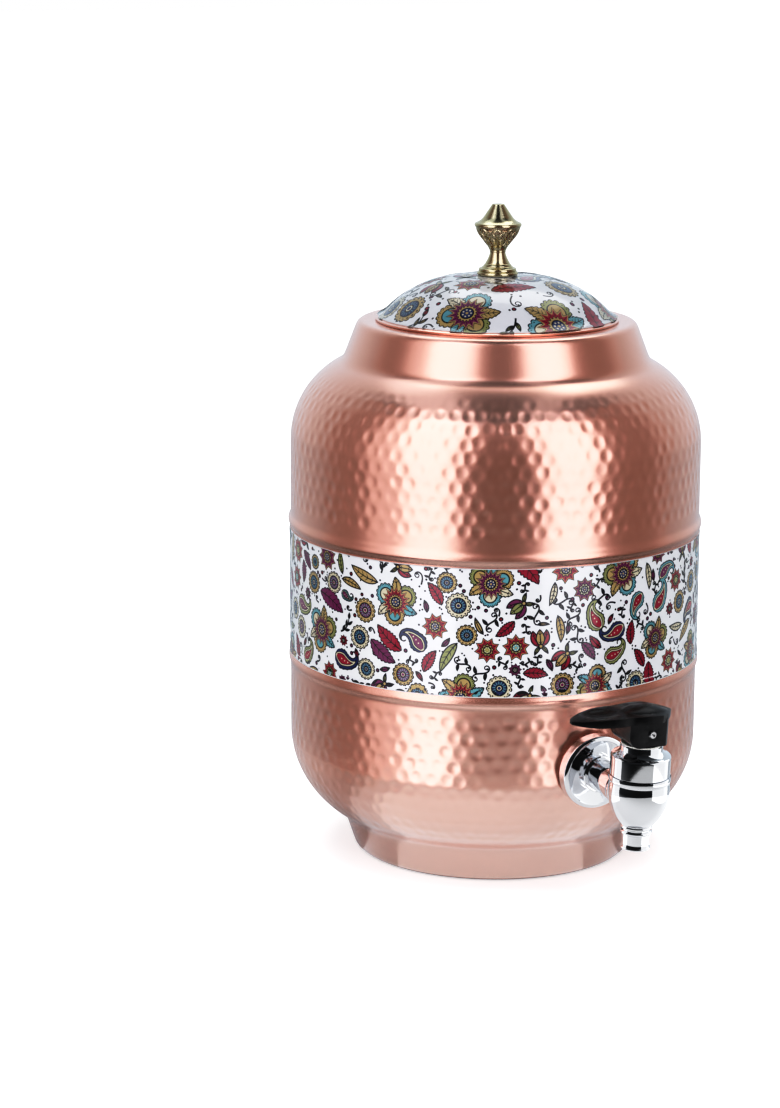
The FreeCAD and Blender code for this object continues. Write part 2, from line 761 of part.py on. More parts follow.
wall_outside = vessel_form("wall_outside", 0 - seal_skin)
wall_inside = vessel_form("wall_inside", sheet_wall + seal_skin)
inner_back = tap_reach + sheet_wall + inner_seal_thickness
shaped_ring("outer_seal", hub_back + stack_gap, tap_reach + outer_seal_thickness,
                         wall_outside, "Part::Cut")
shaped_ring("inner_seal", tap_reach - inner_seal_thickness, inner_back,
                         wall_inside, "Part::Common")

washer_front = inner_back + stack_gap
washer_back = washer_front + steel_washer_thickness
ring("steel_washer", shank_hole, steel_washer_radius,
                    washer_front, washer_back, True, "H_Axis", "YZ_Plane")

nut_front = washer_back + stack_gap
nut_back = nut_front + nut_thickness
nut_corner = nut_across_flats / root(3)
lock_nut = new_body("lock_nut", True)
hexagon = [line(nut_corner * cosine(60 * side), nut_corner * sine(60 * side)) for side in range(6)]
nut_sketch = draw(lock_nut, "nut_hexagon", "XZ_Plane", [hexagon])
add_circle(nut_sketch, 0, 0, shank_hole)
offset_sketch(nut_sketch, 0 - nut_front)
extrude(lock_nut, "nut_pad", nut_sketch, nut_thickness, reverse=True)
turn(lock_nut, "nut_chamfer", [
    line(nut_back - nut_bevel, nut_corner + nut_bevel),
    line(nut_back - nut_bevel, nut_corner),
    line(nut_back, nut_corner - 2 * nut_bevel),
    line(nut_back + nut_bevel, nut_corner - 2 * nut_bevel),
    line(nut_back + nut_bevel, nut_corner + nut_bevel)], "H_Axis", "YZ_Plane", cut=True)


# The tap's bowl with its shank

bowl_thread_radius = chamber_radius + bowl_thread_wall
bonnet_bore = bowl_thread_radius + thread_fit
bonnet_radius = bonnet_bore + bonnet_wall
joint_ring_radius = bonnet_radius + joint_ring_proud
bowl_radius = bonnet_radius
chamber_top = joint_height + bowl_thread_length
spout_thread_radius = spout_bore_radius + spout_thread_wall
spout_socket = spout_thread_radius + thread_fit
spout_thread_top = bowl_bottom + spout_thread_length
shank_end = tap_reach + sheet_wall + shank_inner_length
collar_end = flange_face - stack_gap
collar_start = collar_end - shank_collar_length
ring_bend = 4.0
tap_body = new_body("tap_body", True)
turn(tap_body, "tap_bowl", [
    line(0, bowl_bottom),
    line(bowl_neck_radius - edge_break, bowl_bottom),
    left(bowl_neck_radius, bowl_bottom + edge_break, edge_break),
    left(bowl_radius, joint_ring_bottom - 2 * edge_break, bowl_side_round),
    right(bowl_radius + edge_break, joint_ring_bottom, 3 * edge_break),
    left(joint_ring_radius, (joint_ring_bottom + joint_height) / 2, ring_bend),
    left(bowl_radius + edge_break, joint_height, ring_bend),
    line(bowl_thread_radius, joint_height),
    line(bowl_thread_radius, chamber_top),
    line(0, chamber_top)])
turn(tap_body, "tap_shank", [
    line(0, 0),
    line(0, shank_radius + shank_root_swell),
    line(bowl_radius, shank_radius + shank_root_swell),
    right(bowl_radius + shank_root_swell * 5, shank_radius, shank_root_swell * 8),
    line(collar_start - edge_break, shank_radius),
    line(collar_start - edge_break, shank_collar_radius - edge_break),
    line(collar_start, shank_collar_radius),
    line(collar_end, shank_collar_radius),
    line(collar_end, shank_thread_radius),
    line(shank_end - 2 * edge_break, shank_thread_radius),
    line(shank_end, shank_thread_radius - 2 * edge_break),
    line(shank_end, 0)], "H_Axis", "YZ_Plane")
turn(tap_body, "tap_chamber", [
    line(0, bowl_bottom - 1),
    line(spout_socket, bowl_bottom - 1),
    line(spout_socket, spout_thread_top + edge_break),
    line(seat_radius, spout_thread_top + edge_break),
    line(seat_radius, seat_height),
    line(chamber_radius - chamber_round, seat_height),
    left(chamber_radius, seat_height + chamber_round, chamber_round),
    line(chamber_radius, chamber_top + 1),
    line(0, chamber_top + 1)], cut=True)
turn(tap_body, "tap_water_way", [
    line(chamber_radius / 2, 0),
    line(chamber_radius / 2, water_way_radius),
    line(shank_end + 1, water_way_radius),
    line(shank_end + 1, 0)], "H_Axis", "YZ_Plane", cut=True)

spout_radius = spout_bore_radius + spout_wall
spout_lip_radius = spout_radius + spout_flare
spout_ring_radius = spout_radius + spout_ring_proud
ring_edge = spout_ring_radius - spout_groove_depth / 2
groove_radius = spout_ring_radius - spout_groove_depth
ring_one_top = bowl_bottom - joint_gap
ring_one_low = ring_one_top - spout_ring_height
ring_two_top = ring_one_low - spout_groove_width
ring_two_low = ring_two_top - spout_ring_height
nozzle_ring_bend = 1.0
nozzle = new_body("nozzle", True)
turn(nozzle, "nozzle_turned", [
    line(spout_bore_radius, spout_bottom),
    line(spout_lip_radius - edge_break, spout_bottom),
    left(spout_lip_radius - edge_break, spout_bottom + 2.5 * edge_break, 1.5 * edge_break),
    right(spout_radius, spout_bottom + 3.0, 3.6),
    line(spout_radius, ring_two_low - edge_break),
    line(ring_edge, ring_two_low),
    left(ring_edge, ring_two_top, nozzle_ring_bend),
    line(groove_radius, ring_two_top),
    line(groove_radius, ring_one_low),
    line(ring_edge, ring_one_low),
    left(ring_edge, ring_one_top, nozzle_ring_bend),
    line(spout_thread_radius, ring_one_top),
    line(spout_thread_radius, spout_thread_top),
    line(spout_bore_radius, spout_thread_top)])


# The bonnet and what it guides

roof = chamber_top + bonnet_seal_thickness + 2 * joint_gap
guide_radius = stem_radius + stem_fit
gland_radius = stem_radius + gland_depth
bonnet_foot = joint_height + joint_gap
bonnet = new_body("bonnet", True)
turn(bonnet, "bonnet_turned", [
    line(bonnet_bore, bonnet_foot),
    line(bonnet_radius - edge_break, bonnet_foot),
    left(bonnet_radius, bonnet_foot + edge_break, edge_break),
    line(bonnet_radius, bonnet_shoulder_height - 2 * edge_break),
    left(bonnet_radius - 1.5 * edge_break, bonnet_shoulder_height, 2.5 * edge_break),
    right(bonnet_neck_radius, bonnet_neck_height, 6.0),
    line(bonnet_neck_radius, bonnet_top - edge_break),
    line(bonnet_neck_radius - edge_break, bonnet_top),
    line(guide_radius, bonnet_top),
    line(guide_radius, gland_bottom + gland_height),
    line(gland_radius, gland_bottom + gland_height),
    line(gland_radius, gland_bottom),
    line(guide_radius, gland_bottom),
    line(guide_radius, roof),
    line(bonnet_bore, roof)])

ring("bonnet_seal", chamber_radius + 2 * joint_gap, bowl_thread_radius,
                   chamber_top + joint_gap, roof - joint_gap, True)

stem_ring = new_body("stem_ring", True)
cord_radius = (gland_radius - guide_radius) / 2
ring_sketch = draw(stem_ring, "stem_ring_section", "XZ_Plane", [])
add_circle(ring_sketch, (gland_radius + guide_radius) / 2, gland_bottom + gland_height / 2,
           cord_radius - joint_gap / 2)
revolve(stem_ring, "stem_ring_moulded", ring_sketch, "V_Axis")

glide_top = bonnet_top + glide_thickness
ring("glide_washer", stem_radius + glide_fit, bonnet_neck_radius - glide_margin,
                    bonnet_top, glide_top, True)


# The valve on its stem

skirt_bottom = glide_top + lever_gap
pin_height = skirt_bottom + pin_rise
plug_bottom = seat_height + plug_seat_gap
plug_top = plug_bottom + plug_thickness
plug_washer_top = plug_top + stack_gap + plug_washer_thickness
stem_shoulder = plug_washer_top + stack_gap
stem_top = pin_height + stem_eye_length
tail_end = plug_bottom + tail_sink
tail_hole = stem_tail_radius + stem_fit
stem_round = stem_radius * 0.6
eye_hole = pin_radius + stem_fit

valve_stem = new_body("valve_stem", True)
turn(valve_stem, "stem_turned", [
    line(0, tail_end),
    line(stem_tail_radius, tail_end),
    line(stem_tail_radius, stem_shoulder),
    line(stem_radius, stem_shoulder),
    line(stem_radius, stem_top - stem_round),
    left(stem_radius - stem_round, stem_top, stem_round),
    line(0, stem_top)])
flat_inside = stem_radius - stem_flat_depth
flat_outside = stem_radius + stem_flat_depth
flat_low = glide_top + lever_gap + edge_break
for name, side in (("front_flat", -1), ("back_flat", 1)):
    flat_sketch = draw(valve_stem, name + "_sketch", "YZ_Plane", [[
        line(side * flat_inside, flat_low),
        line(side * flat_outside, flat_low),
        line(side * flat_outside, stem_top + 1),
        line(side * flat_inside, stem_top + 1)]])
    extrude(valve_stem, name, flat_sketch, 4 * stem_radius, cut=True, both=True)
eye_sketch = draw(valve_stem, "eye_sketch", "XZ_Plane", [])
add_circle(eye_sketch, 0, pin_height, eye_hole)
extrude(valve_stem, "stem_eye", eye_sketch, 4 * stem_radius, cut=True, both=True)

plug_round = plug_thickness / 4
valve_plug = new_body("valve_plug", True)
turn(valve_plug, "plug_moulded", [
    line(0, plug_bottom - plug_tip_depth),
    line(seat_radius - 2 * plug_tip_slope, plug_bottom - plug_tip_depth),
    line(seat_radius - plug_tip_slope, plug_bottom),
    line(plug_radius - plug_round, plug_bottom),
    left(plug_radius, plug_bottom + plug_round, plug_round),
    line(plug_radius, plug_top),
    line(tail_hole, plug_top),
    line(tail_hole, tail_end - stem_fit),
    line(0, tail_end - stem_fit)])

ring("plug_washer", tail_hole, plug_radius, plug_top + stack_gap,
                   plug_washer_top, True)

spring_bottom = stem_shoulder + spring_wire + spring_end_gap
spring_top = roof - spring_wire - spring_end_gap
spring_rise = spring_top - spring_bottom
helix = document.addObject("Part::Helix", "spring_path")
helix.setExpression("Radius", spring_radius.text)
helix.setExpression("Height", spring_rise.text)
helix.setExpression("Pitch", (spring_rise / spring_turns).text)
wire_section = document.addObject("Part::Circle", "spring_section")
wire_section.setExpression("Radius", spring_wire.text)
wire_section.Placement = FreeCAD.Placement(V(0, 0, 0), FreeCAD.Rotation(V(1, 0, 0), 90))
wire_section.setExpression(".Placement.Base.x", spring_radius.text)
return_spring = document.addObject("Part::Sweep", "return_spring")
return_spring.Label = "return_spring"
return_spring.Sections = [wire_section]
return_spring.Spine = (helix, ["Edge1"])
return_spring.Solid = True
return_spring.Frenet = True
place_at_tap(return_spring, spring_bottom)
made["return_spring"] = return_spring


# The lever: a slotted skirt with a cam heel, a plate with a domed head, and a finger paddle

lever = new_body("lever", True)
skirt_top = skirt_bottom + skirt_height
plate_top = skirt_top + plate_thickness
arch_top = plate_top + paddle_arch
heel_end = heel_reach + pin_rise
nose_half = skirt_nose_width / 2
skirt_corner = skirt_front - skirt_corner_back
side_bend = 14.0
skirt_sketch = raised_sketch(lever, "skirt_plan", skirt_bottom, [
    line(0 - heel_end, 0 - skirt_half_width),
    line(skirt_corner, 0 - skirt_half_width),
    left(skirt_front, 0 - nose_half, side_bend),
    left(skirt_front, nose_half, skirt_nose_width * 0.7),
    left(skirt_corner, skirt_half_width, side_bend),
    line(0 - heel_end, skirt_half_width)])
extrude(lever, "skirt", skirt_sketch, skirt_height + plate_thickness / 2)

# The heel is an arc centred level with the pin. Turning it by an angle lifts the pin by the
# heel's reach times the angle's sine, so over a small turn the lift is nearly proportional
clear = 1.0
heel_sketch = draw(lever, "heel_side", "XZ_Plane", [[
    line(0 - heel_end - clear, skirt_bottom - clear),
    line(0 - heel_reach, skirt_bottom - clear),
    line(0 - heel_reach, skirt_bottom),
    right(0 - heel_end, pin_height, pin_rise),
    line(0 - heel_end - clear, pin_height)]])
extrude(lever, "heel", heel_sketch, 3 * skirt_half_width, cut=True, both=True)

plate_front = skirt_front + plate_overhang
plate_half_width = skirt_half_width + plate_overhang
waist_half_width = plate_half_width - waist_depth
waist_back = head_back + waist_length
tip_half = paddle_tip_width / 2
tip_back = paddle_length - tip_half / 2
flank_bend = 34.0
plate_sketch = raised_sketch(lever, "plate_plan", skirt_top, [
    left(plate_front, 0 - nose_half, 24.0),
    left(plate_front, nose_half, 2.4),
    left(skirt_corner_back, plate_half_width, 24.0),
    left(0 - head_back, waist_half_width, flank_bend),
    right(0 - waist_back, paddle_half_width, side_bend),
    left(0 - tip_back, tip_half, flank_bend),
    left(0 - tip_back, 0 - tip_half, paddle_tip_width * 0.6),
    left(0 - waist_back, 0 - paddle_half_width, flank_bend),
    right(0 - head_back, 0 - waist_half_width, side_bend),
    left(skirt_corner_back, 0 - plate_half_width, flank_bend)])
extrude(lever, "plate", plate_sketch, plate_thickness + paddle_arch)

# Seen from the side the paddle is a long leaf: its top is arched, its underside rises to
# the tip
arch_back = (paddle_length + head_back) / 2
tip_side = 0 - paddle_length - clear
tip_top = plate_top - paddle_drop
arch_sketch = draw(lever, "paddle_top_side", "XZ_Plane", [[
    line(plate_front + clear, arch_top + clear),
    line(tip_side, arch_top + clear),
    line(tip_side, tip_top),
    right(0 - arch_back, arch_top, 120.0),
    line(0, arch_top),
    right(plate_front + clear, plate_top, 120.0)]])
extrude(lever, "paddle_top", arch_sketch, 3 * plate_half_width, cut=True, both=True)
under_start = 0 - heel_end - 2 * clear
under_sketch = draw(lever, "paddle_under_side", "XZ_Plane", [[
    line(under_start, skirt_top),
    right(tip_side, tip_top - paddle_tip_thickness, 110.0),
    line(tip_side, skirt_top - clear),
    line(under_start, skirt_top - clear)]])
extrude(lever, "paddle_under", under_sketch, 3 * plate_half_width, cut=True, both=True)

# The head is an oval dome, the cap of a long barrel that lies along the lever
head_front = plate_front - 2 * edge_break
head_half_length = (head_front + head_rear) / 2
head_half_width = waist_half_width - edge_break
head_bend = cap_bend(head_half_width, head_crown)
head_axis = plate_top + head_crown - head_bend
head_low = plate_top - head_sink
past_end = head_half_length + head_bend
head_form = new_body("head_form", kept=False)
barrel_sketch = draw(head_form, "head_barrel_side", "XZ_Plane", [[
    line(0 - head_rear, head_axis),
    line(head_front, head_axis),
    line(head_front, plate_top),
    left(0 - head_rear, plate_top, cap_bend(head_half_length, head_crown))]])
revolve(head_form, "head_barrel", barrel_sketch, "Edge2")
below_sketch = draw(head_form, "head_below", "XZ_Plane", [[
    line(0 - past_end, head_low),
    line(0 - past_end, head_axis - past_end),
    line(past_end, head_axis - past_end),
    line(past_end, head_low)]])
extrude(head_form, "head_cap", below_sketch, 4 * head_bend, cut=True, both=True)
head_dome = lever.newObject("PartDesign::Boolean", "head_dome")
head_dome.Type = "Fuse"
head_dome.setObjects([head_form])
lever.Tip = head_dome

# The finger dish is the low side of a barrel that lies along the paddle
dish_rise = cap_bend(dish_half_width, dish_depth) - dish_depth
dish_axis = arch_top + dish_rise
dish_bend = cap_bend(dish_length / 2, dish_depth)
dish_end = dish_tip_margin - paddle_length
dish_sketch = draw(lever, "dish_side", "XZ_Plane", [[
    line(dish_end, dish_axis),
    line(dish_end, arch_top),
    left(dish_end + dish_length, arch_top, dish_bend),
    line(dish_end + dish_length, dish_axis)]])
revolve(lever, "finger_dish", dish_sketch, "Edge1", "PartDesign::Groove")

slot = slot_half_length
slot_roof = stem_top - stem_round / 2
slot_sketch = draw(lever, "slot_outline", "XZ_Plane", [[
    line(0 - slot, skirt_bottom - clear),
    line(slot, skirt_bottom - clear),
    line(slot, slot_roof),
    left(0 - slot, slot_roof, slot * 1.5)]])
extrude(lever, "stem_slot", slot_sketch, 2 * (stem_radius + slot_gap), cut=True, both=True)
bore_sketch = draw(lever, "pin_bore_sketch", "XZ_Plane", [])
add_circle(bore_sketch, 0, pin_height, eye_hole)
extrude(lever, "pin_bore", bore_sketch, 3 * skirt_half_width, cut=True, both=True)

lever_pin = new_body("lever_pin", True)
head_face = skirt_half_width + joint_gap
head_end = 0 - head_face - pin_head_height
pin_sketch = draw(lever_pin, "pin_turned_sketch", "YZ_Plane", [[
    line(head_end + pin_dimple_depth, pin_height),
    line(head_end, pin_height + pin_dimple_radius),
    line(head_end, pin_height + pin_head_radius - edge_break),
    line(0 - head_face, pin_height + pin_head_radius),
    line(0 - head_face, pin_height + pin_radius),
    line(head_face, pin_height + pin_radius),
    line(head_face, pin_height)]])
revolve(lever_pin, "pin_turned", pin_sketch, "Edge1")


# Build, check and write

document.recompute()

for item in document.Objects:
    bad = [word for word in item.State if word in ("Invalid", "Error")]
    if bad:
        raise RuntimeError(f"{item.Label} could not be built: {item.State}")

os.makedirs("parts", exist_ok=True)
for name, item in made.items():
    shape = item.Shape
    if shape.isNull() or not shape.isValid() or shape.Volume <= 0:
        raise RuntimeError(f"{name} has no valid solid")
    solids = len(shape.Solids)
    if solids != 1:
        raise RuntimeError(f"{name} has {solids} solids instead of one")
    box = shape.BoundBox
    print(f"{name}: {shape.Volume:.1f} mm3, z {box.ZMin:.2f} to {box.ZMax:.2f}")
    shape.exportStep(f"parts/{name}.step")
print(f"{len(made)} parts written")
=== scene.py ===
# %% [markdown]
# # A hammered copper water dispenser
# The object is a spun copper barrel with a printed band round its waist, a printed lid with
# a brass knob, and a small chromed tap with a black lever. The construction model is
# loaded first and is never moved. Each finish and each finer piece is laid on it or takes
# the place of one of its solids, so the lesson starts from a fixed frame in metres.

# %% Load the fixed frame
import math

import bpy
import numpy as np
from mathutils import Matrix, Vector


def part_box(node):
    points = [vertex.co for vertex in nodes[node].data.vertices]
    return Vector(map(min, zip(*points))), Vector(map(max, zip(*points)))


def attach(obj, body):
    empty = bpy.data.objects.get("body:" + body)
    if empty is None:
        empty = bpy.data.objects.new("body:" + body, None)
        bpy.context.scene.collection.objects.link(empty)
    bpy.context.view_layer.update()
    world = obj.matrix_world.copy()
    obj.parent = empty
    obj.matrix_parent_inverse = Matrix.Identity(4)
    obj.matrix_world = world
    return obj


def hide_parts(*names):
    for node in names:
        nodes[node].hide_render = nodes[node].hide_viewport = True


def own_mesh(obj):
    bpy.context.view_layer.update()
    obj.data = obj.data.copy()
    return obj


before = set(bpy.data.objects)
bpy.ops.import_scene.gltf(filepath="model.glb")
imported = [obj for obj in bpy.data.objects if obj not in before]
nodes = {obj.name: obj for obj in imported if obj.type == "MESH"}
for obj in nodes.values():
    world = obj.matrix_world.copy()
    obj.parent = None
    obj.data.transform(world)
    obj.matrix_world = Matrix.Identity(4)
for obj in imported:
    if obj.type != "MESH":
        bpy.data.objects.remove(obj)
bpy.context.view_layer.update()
scene = bpy.context.scene
print("pieces in the frame:", len(nodes))

# %% [markdown]
# ## The camera
# The camera stands about 1.4 m in front of the barrel, a little left of the tap and a
# little above the lid, with a long lens. A long lens from far off keeps the barrel's
# outline calm, as product pictures do. Its place is written as a distance, a height and a
# turn round the barrel, because those are easier to judge than three coordinates.

# %% Camera
def linked(name, data):
    """An object for a mesh, a light or a camera, in the scene."""
    thing = bpy.data.objects.new(name, data)
    scene.collection.objects.link(thing)
    return thing


camera_distance = 1.3895
camera_height = 0.4374
camera_turn = -27.9
camera_yaw = 1.90
camera_pitch = 12.43
camera_roll = 0.29
lens_mm, sensor_mm = 148.25, 36


def turn_about(axis, degrees):
    """A turn about one axis."""
    return Matrix.Rotation(math.radians(degrees), 4, axis)


def turned(vector, degrees):
    """A vector turned about the upright axis."""
    return turn_about("Z", degrees) @ Vector(vector)


camera = linked("camera", bpy.data.cameras.new("camera"))
camera.data.sensor_fit = "HORIZONTAL"
camera.data.sensor_width = sensor_mm
camera.data.lens = lens_mm
camera.data.clip_start, camera.data.clip_end = 0.05, 60
camera.matrix_world = (
    turn_about("Z", camera_turn) @ Matrix.Translation((0, -camera_distance, camera_height))
    @ turn_about("Z", camera_yaw) @ turn_about("X", 90 - camera_pitch)
    @ turn_about("Z", camera_roll))
scene.camera = camera
print("camera at", [round(v, 3) for v in camera.matrix_world.translation])

# %% [markdown]
# ## The floor
# The pot stands on a sheet of white paper. It is pale grey near the pot, which leaves room
# for a soft shadow, and glows to white further off. Satin metal would show the sheet's far
# part as a bright smear, so the paper fades out of the metal's reflections with distance.

# %% Floor
def shape(name, points, faces):
    """An object for points and faces."""
    mesh = bpy.data.meshes.new(name)
    mesh.from_pydata(points, [], faces)
    return linked(name, mesh)


def new_material(name):
    """A node material, its tree and its main shader."""
    material = bpy.data.materials.new(name)
    material.use_nodes = True
    return material, material.node_tree, material.node_tree.nodes["Principled BSDF"]


def add(tree, kind, fed=None, **settings):
    """A node with its settings, its plain inputs and the outputs that are fed to it."""
    node = tree.nodes.new("ShaderNode" + kind)
    for name, value in settings.items():
        if hasattr(node, name):
            setattr(node, name, value)
        else:
            node.inputs[name.replace("_", " ")].default_value = value
    for name, output in (fed or {}).items():
        tree.links.new(output, node.inputs[name])
    return node


floor_half = 7.0
floor_drop = 0.0002
floor = shape("floor", [(-floor_half, -floor_half, 0), (floor_half, -floor_half, 0),
                        (floor_half, floor_half, 0), (-floor_half, floor_half, 0)],
              [(0, 1, 2, 3)])
floor.location.z = -floor_drop
paper, paper_tree, paper_shader = new_material("white paper")
paper_place = add(paper_tree, "TexCoord")
paper_reach = add(paper_tree, "VectorMath", {0: paper_place.outputs["Object"]},
                  operation="LENGTH")
paper_sight = add(paper_tree, "LightPath")


def by_distance(near, far, at_near, at_far):
    """A value that changes smoothly with the distance from the barrel's axis."""
    change = add(paper_tree, "MapRange", {"Value": paper_reach.outputs["Value"]},
                 interpolation_type="SMOOTHSTEP", From_Min=near, From_Max=far,
                 To_Min=at_near, To_Max=at_far)
    return change.outputs["Result"]


def only_for(ray, value):
    """A value that counts for one kind of ray and is nothing for the others."""
    product = add(paper_tree, "Math", {0: value, 1: paper_sight.outputs[ray]},
                  operation="MULTIPLY")
    return product.outputs["Value"]


paper_grey = by_distance(near=0.28, far=0.62, at_near=0.78, at_far=0.30)
paper_tone = add(paper_tree, "CombineColor",
                 {channel: paper_grey for channel in ("Red", "Green", "Blue")})
paper_glow = only_for("Is Camera Ray", by_distance(near=0.10, far=0.45, at_near=0.5, at_far=1.0))
paper_fade = only_for("Is Glossy Ray", by_distance(near=0.14, far=0.28, at_near=0.78, at_far=1.0))
paper_gap = add(paper_tree, "BsdfTransparent")
paper_edge = add(paper_tree, "MixShader", {"Fac": paper_fade, 1: paper_shader.outputs["BSDF"],
                                           2: paper_gap.outputs["BSDF"]})
paper_shader.inputs["Emission Color"].default_value = (1, 1, 1, 1)
paper_shader.inputs["Roughness"].default_value = 0.9
paper_tree.links.new(paper_tone.outputs["Color"], paper_shader.inputs["Base Color"])
paper_tree.links.new(paper_glow, paper_shader.inputs["Emission Strength"])
paper_tree.links.new(paper_edge.outputs["Shader"],
                     paper_tree.nodes["Material Output"].inputs["Surface"])
floor.data.materials.append(paper)
print("floor, metres across:", 2 * floor_half)

# %% [markdown]
# ## The lamps
# Bright metal shows its surroundings more than its own colour, so the light is built for
# the reflections. Two tall soft boxes stand in front, left and right, with a dark gap
# between them, and a narrow wing lights the left edge. With those alone satin copper turns
# brown in its shadows, so three broad warm cards fill them with copper's own colour. Two
# strips under the ceiling draw the shoulder, and soft ovals on the floor lift the bowl and
# the foot, as a bright table does.
#
# The chromed tap is small and mirrors everything round it, so it has boxes of its own, and
# the white print has a white card. Light linking lets each lamp reach only the pieces it is
# meant for. A new piece that is added later has to be put in these collections too.

# %% Lamps
for_tap, for_barrel, for_copper, for_print, for_floor = (
    bpy.data.collections.new("lit with the " + name)
    for name in ("tap", "barrel", "copper", "print", "floor"))
tap_nodes = ("tap_flange", "tap_body", "nozzle", "bonnet", "lever", "lever_pin", "glide_washer")
for name, thing in nodes.items():
    (for_tap if name in tap_nodes else for_barrel).objects.link(thing)
for name in ("lid_shell", "lid_collar", "base_plate"):
    for_copper.objects.link(nodes[name])
for_barrel.objects.link(floor)
for_floor.objects.link(floor)
aim = Vector((0, 0, 0.15))
white = (1.0, 1.0, 1.0)
cool_white, ceiling_blue, floor_blue = (0.96, 0.96, 1.06), (0.90, 0.98, 1.08), (0.66, 0.88, 1.0)
copper_red = (1.0, 0.62, 0.46)


def area_lamp(name, outline, wide, tall, watts, reaches, colour):
    """An area lamp. It reaches the pieces of a collection, or all of them."""
    data = bpy.data.lights.new(name, "AREA")
    data.shape, data.size, data.size_y = outline, wide, tall
    data.energy, data.color = watts, colour
    lamp = linked(name, data)
    if reaches:
        lamp.light_linking.receiver_collection = reaches
    return lamp


def soft_box(name, around, distance, height, wide, tall, watts, reaches, colour):
    """A soft box that faces the barrel. around is its turn from the camera's side."""
    box = area_lamp(name, "RECTANGLE", wide, tall, watts, reaches, colour)
    box.location = turned((0, -distance, height), camera_turn + around)
    box.rotation_mode = "QUATERNION"
    box.rotation_quaternion = (aim - box.location).to_track_quat("-Z", "Y")


def flat_light(name, place, wide, deep, watts, reaches, colour, faces_up):
    """A level oval light. place is seen from the camera: across, away and up."""
    flat = area_lamp(name, "ELLIPSE", wide, deep, watts, reaches, colour)
    flat.location = turned(place, camera_turn)
    flat.rotation_euler = (math.pi if faces_up else 0, 0, math.radians(camera_turn))
    flat.visible_camera = False
    return flat


for box in (("left soft box", -36, 1.5, 0.6, 1.0, 2.8, 15.0, for_barrel, cool_white),
            ("left wing", -64, 1.5, 0.6, 0.55, 2.8, 3.0, for_barrel, cool_white),
            ("right soft box", 42, 1.5, 0.6, 1.0, 2.8, 15.0, for_barrel, cool_white),
            ("warm card", 0, 1.7, 0.5, 2.6, 3.0, 3.2, for_copper, copper_red),
            ("left warm card", -76, 1.7, 0.5, 2.0, 3.0, 3.5, for_copper, copper_red),
            ("right warm card", 80, 1.7, 0.5, 2.0, 3.0, 3.5, for_copper, copper_red),
            ("white card", 0, 1.7, 0.5, 3.2, 3.0, 6.0, for_print, white),
            ("left tap box", -104, 1.2, 0.35, 1.5, 2.2, 10.0, for_tap, white),
            ("right tap box", 86, 1.2, 0.35, 2.1, 2.2, 14.0, for_tap, white),
            ("floor box", 0, 0.02, 2.0, 2.0, 2.0, 60.0, for_floor, white),
            ("top soft box", 170, 1.0, 1.7, 1.4, 0.9, 5.0, None, white)):
    soft_box(*box)
for name, place, wide, deep, watts, up in (
        ("left ceiling strip", (-0.76, 0.1, 2.0), 0.8, 3.0, 4.6, False),
        ("right ceiling strip", (0.60, -0.1, 2.0), 0.4, 2.8, 1.5, False),
        ("floor glow", (0.0, -0.24, 0.001), 0.36, 0.46, 0.155, True),
        ("foot glow", (0.0, -0.10, 0.001), 0.19, 0.12, 0.021, True)):
    flat_light(name, place, wide, deep, watts, for_copper, floor_blue if up else ceiling_blue, up)
tap_glow = flat_light("floor glow for the tap", (0, 0, 0), 0.34, 0.34, 0.17, for_tap, white, True)
tap_glow.location = (0, -0.13, 0.001)

# %% [markdown]
# ## Surroundings and tone
# The surroundings are white behind the pot, which gives the barrel its pale rims, and dark
# towards the camera, where a photographer would stand. A tone curve on the view gives the
# contrast of a product picture and leaves white as it is.

# %% Surroundings and tone
studio = bpy.data.worlds.new("studio")
scene.world = studio
studio.use_nodes = True
sky = studio.node_tree
sight_line = add(sky, "TexCoord").outputs["Generated"]
facing = add(sky, "VectorMath", {0: sight_line}, operation="DOT_PRODUCT")
facing.inputs[1].default_value = turned((0, -1, 0), camera_turn)
spread = add(sky, "MapRange", {"Value": facing.outputs["Value"]}, From_Min=-1, From_Max=1)
shade = add(sky, "ValToRGB", {"Fac": spread.outputs["Result"]})
stops = shade.color_ramp.elements
stops[0].color = (0.72, 0.80, 0.88, 1)
stops[1].color = (0.03, 0.03, 0.03, 1)
for place, grey in ((0.18, 0.66), (0.31, 0.50), (0.42, 0.12), (0.7, 0.05)):
    stops.new(place).color = (grey * 0.93, grey, grey * 1.06, 1)
height = add(sky, "SeparateXYZ", {"Vector": sight_line})
below = add(sky, "MapRange", {"Value": height.outputs["Z"]}, From_Min=-0.6, From_Max=0.0,
            To_Min=0.35, To_Max=1.0)
dimmed = add(sky, "VectorMath", {0: shade.outputs["Color"], "Scale": below.outputs["Result"]},
             operation="SCALE")
seen = add(sky, "LightPath")
chosen = add(sky, "Mix", {"A": dimmed.outputs["Vector"], "Factor": seen.outputs["Is Camera Ray"]},
             data_type="RGBA", B=(1.0, 1.0, 1.0, 1.0))
sky.links.new(chosen.outputs["Result"], sky.nodes["Background"].inputs["Color"])
view = scene.view_settings
view.view_transform = "Standard"
view.use_curve_mapping = True
tone_curve = view.curve_mapping.curves[3]
for level, shown in ((0.05, 0.0135), (0.12, 0.05), (0.25, 0.15), (0.40, 0.33), (0.60, 0.61),
                     (0.80, 0.85)):
    tone_curve.points.new(level, shown)
view.curve_mapping.update()
print("tone curve points:", len(tone_curve.points))

# %% [markdown]
# ## Profiles drawn with a compass
# A spun pot is a profile turned about its axis. The profile here is drawn as a coppersmith
# would draw the template: straight runs and arcs. Points are set along it at an even
# spacing, because the hammer marks need small, regular faces to show. A light smoothing
# rounds every corner a little, as sheet metal does when it is bent.

# %% Profile helpers
mm = 0.001


